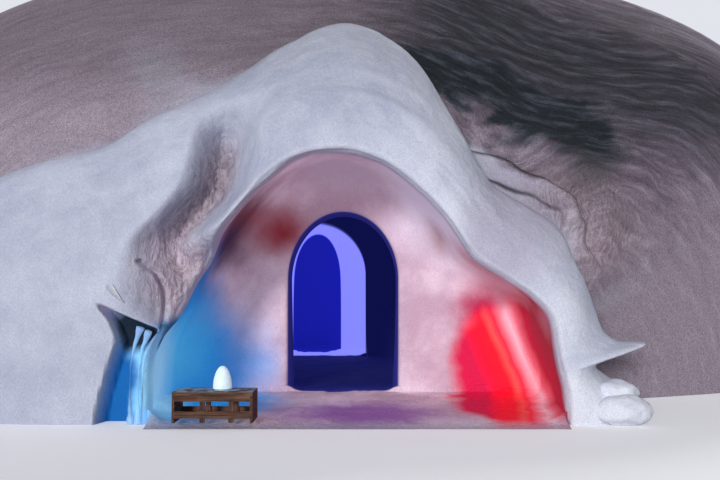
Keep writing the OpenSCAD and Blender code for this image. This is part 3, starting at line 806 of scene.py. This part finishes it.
def merged(kind, node, shells, voxel, smooth, inside):
    """One object of several closed shells, remeshed into one skin and its modifiers applied."""
    points, faces, start = [], [], 0
    for p, f in shells:
        points.append(p)
        faces += [[i + start for i in face] for face in f]
        start += len(p)
    name = f"{kind}_{node}"
    mesh = bpy.data.meshes.new(name)
    mesh.from_pydata(np.concatenate(points), [], faces)
    piece = bpy.data.objects.new(name, mesh)
    scene.collection.objects.link(piece)
    remesh = piece.modifiers.new("freeze together", "REMESH")
    remesh.mode, remesh.voxel_size = "VOXEL", voxel
    soften = piece.modifiers.new("soften", "SMOOTH")
    soften.factor, soften.iterations = .5, smooth
    bpy.context.view_layer.update()
    final = bpy.data.meshes.new_from_object(
        piece.evaluated_get(bpy.context.evaluated_depsgraph_get()))
    spots = np.empty(3 * len(final.vertices))
    final.vertices.foreach_get("co", spots)
    spots[2::3] = np.maximum(spots[2::3], 0)     # nothing reaches below the ground
    final.vertices.foreach_set("co", spots)
    piece.modifiers.clear()
    piece.data = final
    final.name = name
    final.polygons.foreach_set("use_smooth", np.ones(len(final.polygons), bool))
    # Loose snow takes the whitest tint, partly painted light
    fields = fields_of(np.zeros((len(final.vertices), 1, 3)), inside=inside, fresh=1, turn=5)
    for key, values in fields.items():
        final.attributes.new(key, "FLOAT", "POINT").data.foreach_set("value", values.ravel())
    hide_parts(node)
    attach(piece, "root")
    made.append(piece)
    print(name, len(final.polygons), "faces")


def on_front(a, d, out):
    """The point of the front at turn a and d metres from the rim, out metres proud of it."""
    return place(a, front_y(a, d) - out, rim(a) + d)


# Each lump: X and Z of its centre, how far it stands out of the front, and its radii
LOWER = [(2.39, .06, .12, (.27, .19, .155)), (2.55, .04, .12, (.11, .12, .09))]
UPPER = [(2.38, .29, .10, (.19, .17, .10)), (2.46, .265, .13, (.14, .13, .075))]
for node, heap, seed in (("snow_heap_lower", LOWER, 70), ("snow_heap_upper", UPPER, 90)):
    shells = []
    for i, (x, z, out, radii) in enumerate(heap):
        a, d = np.degrees(np.arctan2(z, x)), np.hypot(x, z)
        centre = on_front(a, d - rim(a), out)
        centre[2] = max(centre[2], radii[2] * .8)
        shells.append(ball(centre, np.array(radii), seed + i))
    merged("lumps", node, shells, .01, 9, 0.0)


STRAND_SIDES, STRAND_STEPS = 12, 60


def strand(points, radii, seed):
    """Closed tube through the points; its radius follows the given radii and wanders with noise."""
    counts = [STRAND_STEPS // (len(points) - 1)] * (len(points) - 1)
    x, y = through(points[None, :, :2], counts)
    z, w = through(np.stack([points[:, 2], radii], -1)[None], counts)
    line = np.stack([x[0], y[0], z[0]], -1)
    tangent = unit(np.gradient(line, axis=0))
    across = unit(np.cross(tangent, (0, 1, 0)))
    up = np.cross(across, tangent)
    v = np.linspace(0, 2 * np.pi, STRAND_SIDES, endpoint=False)[None, :, None]
    ring = across[:, None] * np.cos(v) + up[:, None] * np.sin(v)
    uneven = 1 + .25 * noise(line[:, None] + ring * .02, .05, seed)
    p = line[:, None] + ring * (np.maximum(.002, w[0])[:, None, None] * uneven[..., None])
    index = np.arange(len(line) * STRAND_SIDES).reshape(-1, STRAND_SIDES)
    faces = quads_of(index).tolist() + [index[0].tolist(), index[-1][::-1].tolist()]
    return p.reshape(-1, 3), faces


def rib(node, d_top, d_foot, seed):
    """A rib from the niche's top to the ground, thin at half height; d is its distance from the
    rim at the top and at the foot."""
    k = np.linspace(0, 1, 6)
    down = np.linspace(NICHE_TOP + 1.2, 180, 6)
    d = d_top + (d_foot - d_top) * k
    line = place(down, Y_LIP + .06 + .02 * np.sin(k * 5), rim(down) + d)
    radii = .010 + .022 * (2 * k - 1) ** 4 + .005 * (2 * k - 1) ** 2
    merged("ribs", node, [strand(line, radii, seed)], .006, 1, .95)


rib("niche_rib_outer", .2, .155, 110)
rib("niche_rib_inner", .12, .085, 120)


# The chip is a thin flake that stands out along one edge: a strip that runs down the wing, s from
# its top to its foot and t across. Its free edge is lifted by 6 cm sqrt(bump(.98 (2s - 1))).
s, t = np.meshgrid(np.linspace(0, 1, 30), np.linspace(0, 1, 10), indexing="ij")
free = np.sqrt(bump(1.96 * s - .98))
a = 150.6 + 2.4 * s
d = .60 - .17 * s + .10 * t * free
base = place(a, front_y(a, d) + .012, rim(a) + d)
face = base - np.stack([0 * s, .006 + .06 * t**1.5 * free + .014, 0 * s], -1)
under = face + np.array([0, .010, 0]) * (t > .05)[..., None] + (base - face) * (t <= .05)[..., None]
rings = np.concatenate([under, face[:, ::-1]], 1)
normals = np.concatenate([0 * base + (0, 1, 0), 0 * base + (0, -1, 0)], 1)
# The chip takes the whitest tint, painted light over its own shading
piece = loft("chip_wing_chip", rings, normals, [True] * rings.shape[1],
             fields_of(rings, fresh=1, turn=150))
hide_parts("wing_chip")
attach(piece, "root")
made.append(piece)
print("wing_chip", len(piece.data.polygons), "faces")

# %% [markdown]
# Snow is ice crystals and air: white, matt and slightly bluish. Hand-packed snow of the porch is
# the cleanest, and painted whiter where most light fell on it; the old wind-packed mound is
# greyer, with a rosy cast, partly its own colour and partly painted shade, and is streaked where
# the wind cut it. Painted shadow lies in the valley behind the hood's right, on the high flank
# and under the ledges' edges, and painted shade in the hollow beside the hood. Inside, coloured
# light soaks into the walls. No lamp for it shows, so it is a stand-in: the snow's own colour by
# place, with a weak glow.
# %% Material helpers
def linear(hex_colour):
    """sRGB hex such as #C8CBDC to linear RGBA."""
    c = np.array([int(hex_colour[i:i + 2], 16) for i in (1, 3, 5)]) / 255
    c = np.where(c <= .04045, c / 12.92, ((c + .055) / 1.055) ** 2.4)
    return (*c.tolist(), 1.0)


def feed(node, inputs):
    """Links a socket to the node's input, sets any other value there, and leaves None as it is.

    inputs is a dictionary, or a tuple for the first sockets."""
    for key, value in inputs.items() if isinstance(inputs, dict) else enumerate(inputs):
        if isinstance(value, bpy.types.NodeSocket):
            node.id_data.links.new(value, node.inputs[key])
        elif value is not None:
            node.inputs[key].default_value = value


def add_node(tree, kind, inputs=(), take=0, stops=(), **settings):
    """Adds a shader node with its settings, inputs and colour stops; returns its output take."""
    node = tree.nodes.new("ShaderNode" + kind)
    for key, value in settings.items():
        setattr(node, key, value)
    feed(node, inputs)
    for i, (spot, tint) in enumerate(stops):
        if i > 1:
            node.color_ramp.elements.new(1)
        element = node.color_ramp.elements[i if i < 2 else -1]
        element.position, element.color = spot, linear(tint)
    return node.outputs[take]


# Settings that many nodes share: a colour mix, one that multiplies, and a range with soft ends
MIX = {"take": 2, "data_type": "RGBA"}
TINT = {"take": 2, "data_type": "RGBA", "blend_type": "MULTIPLY"}
SOFT = {"interpolation_type": "SMOOTHSTEP"}


def new_material(name):
    """A material, the function that adds nodes to it, and its shader."""
    material = bpy.data.materials.new(name)
    material.use_nodes = True
    tree = material.node_tree
    return material, partial(add_node, tree), tree.nodes["Principled BSDF"]


# %% [markdown]
# Pools of coloured light, painted on the snow, and a few darker ones of painted shade: centre and
# radii in metres, colour, and how far in from its edge each pool reaches full strength. Later
# pools lie over earlier ones. The red wall has pale stripes of painted light that stand almost
# upright, and the rooms behind change colour from front to back, to painted lavender light.
# %% Pools of light
POOLS = [
    ((.95, -4.5, 2.05), (1.3, 1.7, .95), "#D8CEDE", .6),      # porch: pale right of the ceiling
    ((-.2, -3.7, 2.6), (.9, 1.0, .42), "#BCA8B8", .8),
    # Red-brown and dark purple left of the ceiling: painted shade
    ((-1.25, -4.3, 1.95), (.7, 1.5, .62), "#6B3742", .9),     # red-brown left of the ceiling
    ((-1.35, -4.2, 1.62), (.5, 1.2, .45), "#3C2440", .8),
    ((-.95, -3.5, 1.92), (.52, .9, .5), "#8E2834", 1.0),
    ((-1.65, -4.9, 1.65), (.5, .7, .55), "#7C5C8A", .7),
    ((-1.85, -4.6, 1.15), (.75, 1.5, .75), "#3A66A4", .6),    # blue left wall
    ((-1.85, -4.4, .35), (1.35, 1.8, 1.2), "#2494DC", .5),
    ((-1.98, -4.0, .5), (.6, 1.1, .8), "#56C4EE", .9),
    ((-1.98, -4.9, .35), (.46, 1.1, .85), "#A8E6FE", .8),
    ((-2.3, -5.42, .28), (.3, .45, .8), "#065CA0", .5),       # niche
    ((1.45, -4.5, 1.5), (.75, 1.3, .6), "#BA929F", .7),       # pink right wall
    ((.95, -3.6, 1.85), (.4, .6, .42), "#A4848E", 1.0),
    ((1.46, -3.5, .98), (.55, .9, .5), "#A8164A", .9),
    ((0, -5.1, 0), (1.2, 1.3, .4), "#8A5C9C", .8),
    # Dark top of the niche: painted shade
    ((-2.12, -5.2, .84), (.55, .27, .27), "#0A1C2C", .4),     # dark top of the niche
]
# Across the red wall: red light, with pale stripes of painted light where more light fell
RED_WALL = [(1.45, "#C81246"), (1.60, "#F80C30"), (1.74, "#F4122C"), (1.82, "#F6504F"),
            (1.89, "#EE2844"), (1.96, "#EC7484"), (2.05, "#E8B2C0"), (2.13, "#DA6476"),
            (2.21, "#B41E3C"), (2.34, "#9C2A3C"), (2.48, "#B88898")]
# By Y: the rooms behind turn from dark blue to lavender, which is painted light
ROOMS = [(-3.4, "#2A2878"), (-2.9, "#141858"), (-2.3, "#10144E"), (2.22, "#10144E"),
         (2.28, "#8A8CE8"), (2.7, "#9294EC"), (4.4, "#8C8EE8")]


def pool(add, vector, centre, radii, soft):
    """1 inside an ellipsoid, falling to 0 at its edge over soft of its radius."""
    local = add("Mapping", {"Vector": vector, "Location": centre, "Scale": radii},
                vector_type="TEXTURE")
    share = add("TexGradient", (local,), "Fac", gradient_type="SPHERICAL")
    return add("MapRange", (share, 0, soft), **SOFT)


def measured(stops):
    """Stops over metres as stops over 0..1, with the lowest and highest place."""
    low, high = stops[0][0], stops[-1][0]
    return low, high, [((at - low) / (high - low), tint) for at, tint in stops]


# %% [markdown]
# The snow's material is built in three steps: the patterns (wander, wind, crystals, clots), the
# colour outdoors and the colour indoors. They are mixed by the fields that the pieces carry.
# %% Packed snow
def snow_patterns(add, grain):
    """The patterns that the snow's colour and bump share, by name."""
    here = add("TexCoord", take="Object")
    p = {key: add("Attribute", take="Fac", attribute_name=key) for key in FIELDS}
    split = add("SeparateXYZ", (here,)).node
    p.update(here=here, X=split.outputs[0], Y=split.outputs[1], Z=split.outputs[2])
    # Wander: pushes every pattern about by up to 17 cm, so that no edge is a clean curve
    wander = add("TexNoise", {"Vector": here, "Scale": 2.2, "Detail": 3.0}, "Color")
    pushed = add("VectorMath", (wander, (.5, .5, .5)), operation="SUBTRACT")
    p["pushed"] = add("VectorMath", (pushed, (.35, .35, .35)), operation="MULTIPLY")
    p["warped"] = add("VectorMath", (here, p["pushed"]), operation="ADD")
    # Wind: coordinates along the turn and along Y; on the right flank the streaks run downhill
    along = add("Math", (p["turn"], float(WIND[0])), operation="MULTIPLY")
    (turn0, sweep0), (turn1, sweep1) = SWEEP
    downhill = add("MapRange", (p["turn"], turn0, turn1, sweep0, sweep1), **SOFT)
    across = add("Math", (p["Y"], downhill), operation="ADD")
    place_in_wind = add("CombineXYZ", (along, across))
    slight = add("VectorMath", (p["pushed"], (.3, .3, .3)), operation="MULTIPLY")
    place_in_wind = add("VectorMath", (place_in_wind, slight), operation="ADD")
    stretched = add("Mapping", {"Vector": place_in_wind, "Scale": (.9, 9, 1)})
    lines = add("Mapping", {"Vector": place_in_wind, "Scale": (1.1, 34, 1)})
    # Crumbs: broken crust in clots of 4 cm, twice as tall as they are wide
    clots = add("Mapping", {"Vector": p["warped"], "Scale": (1, 1, .45)})
    # Fine: crystals clumped to a few millimetres, drawn as coarse as a picture point. Specks: 2 cm
    for key, vector, scale, detail, roughness in (
            ("wind", stretched, 1.7, 6.0, .68), ("lines", lines, 1.3, 3.0, .6),
            ("tone", here, 1.3, 4.0, .6), ("fine", here, 1 / grain, 3.0, .6),
            ("specks", here, 60.0, 2.0, .8), ("clots", clots, 26.0, 3.0, .7)):
        p[key] = add("TexNoise", {"Vector": vector, "Scale": scale, "Detail": detail,
                                  "Roughness": roughness})
    return p


# Shares by name: what each is read from, where it starts and where it ends, and its values there
# where they aren't 0 and 1. The hood is painted whiter towards its right, painted light, and
# darker towards its top, painted shade. Near the front, old snow is painted darker the higher it
# lies, painted shade; it is paler towards the back, with crust on the right flank. The hollow's
# rosy painted shade is darker towards its top.
SHARES = {
    "right": ("turn", 92, 74), "haunch": ("turn", 34, 48), "below crown": ("turn", 68, 56, 0, .75),
    "hood top": ("Z", 2.6, 3.7, 1, .78), "left flank": ("turn", 72, 112),
    "foot": ("turn", 38, 18, 0, .75), "near": ("Y", -3.4, -1.4, 1, .2),
    "mound top": ("Z", 2.9, 3.9, 1, .62), "back": ("Y", -3.2, .4, 0, .7),
    "crust": ("lines", .60, .70, 0, .55), "right flank": ("turn", 84, 62),
    "speckled": ("specks", .34, .66, .74, 1.22), "hollow top": ("Z", 1.5, 2.2, 1.12, .64)}
# Colours by name: what each is read from, and its stops. The painted shadow, in the valley behind
# the hood's right, on the high flank and under the ledges' edges, is nearly black; the old snow's
# grey and the rosy tone are partly painted shade.
TONES = {
    "clean": ("mixed", [(.34, "#A6AAC2"), (.66, "#C6CADA")]),
    "bright": ("mixed", [(.34, "#BEC2D6"), (.66, "#D8DBE8")]),
    "streaked": ("wind", [(.30, "#5C525E"), (.46, "#7C6E7B"), (.56, "#8E8090"), (.70, "#ACA0AE")]),
    "smooth": ("wind", [(.32, "#968896"), (.70, "#B0A2B0")]),
    "pale": ("mixed", [(.36, "#B0AAB6"), (.64, "#CECAD6")]),
    "scoured": ("wind", [(.3, "#12181C"), (.5, "#262D34"), (.7, "#565864")]),
    "rosy": ("wind", [(.3, "#A08898"), (.7, "#CCBAC4")])}


def outdoor_colour(add, p):
    """Clean porch snow against the old mound, which is darkest in its wind-cut streaks.

    Each surface is a stack of layers: the share of it that shows, its colour and its settings."""
    tone = add("Math", (p["tone"], .6), operation="MULTIPLY")
    p["mixed"] = add("Math", (p["wind"], .4, tone), operation="MULTIPLY_ADD")
    p |= {key: add("MapRange", (p[by], *span), **SOFT) for key, (by, *span) in SHARES.items()}
    p |= {key: add("ValToRGB", (p[by],), stops=stops) for key, (by, stops) in TONES.items()}
    haunch = add("Math", (p["haunch"], p["below crown"]), operation="MULTIPLY")
    crust = add("Math", (p["crust"], p["right flank"]), operation="MULTIPLY")
    hollow = add("Math", (p["crumb"], .85), operation="MULTIPLY")
    clean, old = p["clean"], p["streaked"]
    # Clean snow: whiter on the hood's right and on its whitest faces, painted light; darker towards
    # its top, painted shade
    for share, over, settings in (
            (p["right"], p["bright"], MIX), (haunch, linear("#B0A8BE"), MIX),
            (1.0, p["hood top"], TINT), (p["fresh"], linear("#E0E3EE"), MIX)):
        clean = add("Mix", {0: share, 6: clean, 7: over}, **settings)
    # Old snow, among its own tones: darker towards the top near the front, painted shade
    for share, over, settings in (
            (p["left flank"], p["smooth"], MIX), (p["foot"], linear("#AC9EAC"), MIX),
            (p["near"], p["mound top"], TINT), (p["back"], p["pale"], MIX),
            (crust, linear("#B4B0BC"), MIX)):
        old = add("Mix", {0: share, 6: old, 7: over}, **settings)
    # Rosy: the hollow's painted shade, darker towards its top; on the crumbly crust, its tint
    rosy = add("Mix", {0: 1.0, 6: p["rosy"], 7: p["hollow top"]}, **TINT)
    # Over the clean snow: old snow, its grey partly painted shade; painted shadow, nearly black;
    # specks; and the rosy tint
    for share, over, settings in ((p["drift"], old, MIX), (p["ice"], p["scoured"], MIX),
                                  (p["drift"], p["speckled"], TINT), (hollow, rosy, MIX)):
        clean = add("Mix", {0: share, 6: clean, 7: over}, **settings)
    return clean


def indoor_colour(add, p):
    """Mauve ceiling, pools of painted light and shade, pale stripes of painted light on the red
    wall, blue rooms behind the doorway.
    """
    share = add("MapRange", (p["tone"], .35, .65), **SOFT)
    colour = add("Mix", {0: share, 6: linear("#B498AA"), 7: linear("#D2BCCA")}, **MIX)
    for centre, radii, tint, soft in POOLS:
        share = pool(add, p["warped"], centre, radii, soft)
        colour = add("Mix", {0: share, 6: colour, 7: linear(tint)}, **MIX)
    # The pale stripes on the red wall are painted light. Across the red wall: X + .4 Z - .16 (Y +
    # 3.6) is the same all along a stripe, and the wall's stops are given in it; .576 is .16 times
    # 3.6
    slight = add("VectorMath", (p["pushed"], (.35, .35, .35)), operation="MULTIPLY")
    at = add("VectorMath", (p["here"], slight), operation="ADD")
    across = add("VectorMath", (at, (1, -.16, .4)), "Value", operation="DOT_PRODUCT")
    low, high, stops = measured(RED_WALL)
    across = add("MapRange", (across, low + .576, high + .576))
    stripes = add("ValToRGB", (across,), stops=stops)
    on_wall = pool(add, p["warped"], (1.8, -4.3, .2), (.95, 2.5, 1.1), .26)
    colour = add("Mix", {0: on_wall, 6: colour, 7: stripes}, **MIX)
    low, high, stops = measured(ROOMS)
    rooms = add("ValToRGB", (add("MapRange", (p["Y"], low, high)),), stops=stops)
    # The dark blue arch on the far wall is painted shade. It has upright sides: its pool is
    # measured from 1.5 m up, and 0 below that
    above = add("Math", (p["Z"], INNER_OPENING[2]), operation="SUBTRACT")
    above = add("Math", (above, 0.0), operation="MAXIMUM")
    archway = add("CombineXYZ", (p["X"], p["Y"], above))
    deep_arch = pool(add, archway, (-.88, 4.3, 0), (.5, 1.2, 1.18), .04)
    rooms = add("Mix", {0: deep_arch, 6: rooms, 7: linear("#141A7C")}, **MIX)
    deep = add("MapRange", (p["Y"], -3.36, -3.26), **SOFT)
    return add("Mix", {0: deep, 6: colour, 7: rooms}, **MIX), deep


def packed_snow(name, grain, streaks):
    """Packed snow with grain metres wide; streaks is how strongly wind marks show."""
    material, add, shader = new_material(name)
    p = snow_patterns(add, grain)
    indoors, deep = indoor_colour(add, p)
    whole = outdoor_colour(add, p)
    fine = add("MapRange", (p["fine"], .3, .7, .86, 1.1), **SOFT)
    broken = add("MapRange", (p["clots"], .36, .62, .72, 1.2), **SOFT)
    for share, over, settings in ((p["inside"], indoors, MIX), (1.0, fine, TINT),
                                  (p["crumb"], broken, TINT)):
        whole = add("Mix", {0: share, 6: whole, 7: over}, **settings)
    # Light soaks into the walls: a weak glow of their own colour, stronger in the rooms behind
    glow = add("Math", (add("MapRange", (deep, 0, 1, .3, .72)), p["inside"]), operation="MULTIPLY")
    glow = add("Mix", {0: 1.0, 6: indoors, 7: glow}, **TINT)
    # Bump: wind ripples on the mound, soft dents, specks, clots where the crust is broken, grain
    on_mound = add("Math", (p["drift"], streaks), operation="MULTIPLY")
    soft_dents = add("TexNoise", {"Vector": p["here"], "Scale": .22 / grain, "Detail": 3.0})
    normal = None
    for height, share, distance, strength in (
            (p["wind"], on_mound, .03, .7), (p["specks"], on_mound, .025, .8),
            (soft_dents, 1.0, .02, .45), (p["clots"], p["crumb"], .06, .8),
            (p["fine"], 1.0, .006, .5)):
        height = add("Math", (height, share), operation="MULTIPLY")
        normal = add("Bump", {"Height": height, "Distance": distance, "Strength": strength,
                              "Normal": normal})
    feed(shader, {"Base Color": whole, "Emission Color": glow, "Emission Strength": 1.0,
                  "Roughness": .78, "Specular IOR Level": .25, "Normal": normal})
    return material


snow = packed_snow("packed snow", .012, 1.0)
trodden_snow = packed_snow("trodden snow", .02, .3)
for piece in made:
    piece.data.materials.append(trodden_snow if piece.name.startswith("trodden") else snow)
print("packed snow:", len(snow.node_tree.nodes), "nodes")

# %% [markdown]
# The bench is made of rough-sawn spruce, like a crate: the saw leaves fibres that stand up along
# the grain, the wood has darkened outdoors, and blown snow lies on the top boards. Grain lines
# are 4 mm apart on real spruce; they are drawn 12 mm apart, the finest that shows here.
# %% Rough-sawn spruce
def sawn_spruce(name, long_axis, dusted):
    """Wood with its grain along long_axis (0 X, 1 Y, 2 Z); dusted is how much snow lies on top."""
    material, add, shader = new_material(name)
    here = add("TexCoord", take="Object")
    scale = [85.0, 85.0, 85.0]
    scale[long_axis] = 3.0
    stretched = add("Mapping", {"Vector": here, "Scale": scale})
    grain = add("TexNoise", {"Vector": stretched, "Scale": 1.0, "Detail": 5.0, "Roughness": .65})
    blotch = add("TexNoise", {"Vector": here, "Scale": 9.0, "Detail": 3.0})
    wood = add("ValToRGB", (grain,), stops=[(.3, "#2C1C16"), (.5, "#56392B"), (.72, "#7E5942")])
    darkened = add("MapRange", (blotch, .3, .7, .72, 1.1), **SOFT)
    up = add("SeparateXYZ", (add("NewGeometry", take="Normal"),), "Z")
    level = add("MapRange", (up, .5, .9), **SOFT)
    lying = add("Math", (level, add("MapRange", (blotch, .62, .4, 0, dusted), **SOFT)),
                operation="MULTIPLY")
    for share, over, settings in ((1.0, darkened, TINT), (lying, linear("#9CC4DE"), MIX)):
        wood = add("Mix", {0: share, 6: wood, 7: over}, **settings)
    feed(shader, {"Base Color": wood, "Specular IOR Level": .3,
                  "Roughness": add("MapRange", (grain, .3, .7, .9, .62), **SOFT),
                  "Normal": add("Bump", {"Height": grain, "Distance": .004, "Strength": .7})})
    return material


def dress(node, material):
    """Gives a construction node that stays as it is its own material."""
    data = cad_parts[node].data
    data.materials.clear()
    data.materials.append(material)
    print(node, "is", material.name)


for name, long_axis, dusted, nodes in (
        ("rough-sawn spruce, along X", 0, .9, ("bench_top", "bench_rails")),
        ("rough-sawn spruce, along Y", 1, .5, ("bench_ends",)),
        ("rough-sawn spruce, upright", 2, .3, ("bench_posts",))):
    spruce = sawn_spruce(name, long_axis, dusted)
    for node in nodes:
        dress(node, spruce)

# %% [markdown]
# The lamp is a blown dome of opal polyethylene over a lamp: it glows evenly, and its skin is
# faintly orange-peeled. Its base is moulded matt plastic.
# %% Opal polyethylene
def plastic(name, light_tint, dark_tint, glow_strength, roughness):
    """Moulded plastic, mottled between two tints over 3 cm, with an orange peel of 4 mm."""
    material, add, shader = new_material(name)
    here = add("TexCoord", take="Object")
    mottle = add("TexNoise", {"Vector": here, "Scale": 30.0, "Detail": 3.0})
    tint = add("ValToRGB", (mottle,), stops=[(.3, dark_tint), (.7, light_tint)])
    rough = add("MapRange", (mottle, .3, .7, roughness - .06, roughness + .06), **SOFT)
    peel = add("TexNoise", {"Vector": here, "Scale": 240.0, "Detail": 2.0})
    feed(shader, {"Base Color": tint, "Emission Color": tint, "Emission Strength": glow_strength,
                  "Roughness": rough,
                  "Normal": add("Bump", {"Height": peel, "Distance": .0008, "Strength": .4})})
    return material


dress("lamp_dome", plastic("opal polyethylene, lit from inside", "#DCEEF6", "#CBE2EE", .3, .45))
dress("lamp_base", plastic("matt plastic", "#A8B4BC", "#96A2AC", 0.0, .6))

# %% [markdown]
# A plain pale floor and soft studio light. The key light is low and left of the camera, as in the
# photograph; a weaker one stands behind, for the views from there. The floor and the surroundings
# look paler to the camera than the light that they give off, and the floor keeps its shadow.
# %% Floor and light
REACH, SUN_AWAY = 60, 20       # half the floor's width, and where the suns stand, in metres
ground = bpy.data.meshes.new("floor")
ground.from_pydata([(-REACH, -REACH, 0), (REACH, -REACH, 0), (REACH, REACH, 0), (-REACH, REACH, 0)],
                   [], [(0, 1, 2, 3)])
floor = bpy.data.objects.new("floor", ground)
scene.collection.objects.link(floor)
floor_material, add, shader = new_material("pale floor")
seen = add("LightPath", take="Is Camera Ray")
feed(shader, {"Base Color": linear("#E4E4E8"), "Emission Color": linear("#E4E4E8"),
              "Roughness": .9, "Emission Strength": add("Math", (seen, .42), operation="MULTIPLY")})
ground.materials.append(floor_material)


def sun(name, azimuth, elevation, strength, angle):
    """Sun lamp; azimuth is counted from straight ahead of the porch, positive to its right."""
    light = bpy.data.objects.new(name, bpy.data.lights.new(name, "SUN"))
    light.data.energy, light.data.angle = strength, np.radians(angle)
    light.location = SUN_AWAY * np.array([sind(azimuth) * cosd(elevation),
                                          -cosd(azimuth) * cosd(elevation), sind(elevation)])
    light.rotation_euler = (-light.location).to_track_quat("-Z", "Y").to_euler()
    scene.collection.objects.link(light)


sun("key light", -17, 10, 2.4, 10)
sun("back light", 155, 38, 1.3, 12)
world = bpy.data.worlds.new("soft studio")
world.use_nodes = True
add = partial(add_node, world.node_tree)
seen = add("LightPath", take="Is Camera Ray")
feed(world.node_tree.nodes["Background"],
     {"Color": linear("#E2E4EC"), "Strength": add("MapRange", (seen, 0, 1, .3, 1.0))})
scene.world = world
scene.view_settings.view_transform = "Standard"
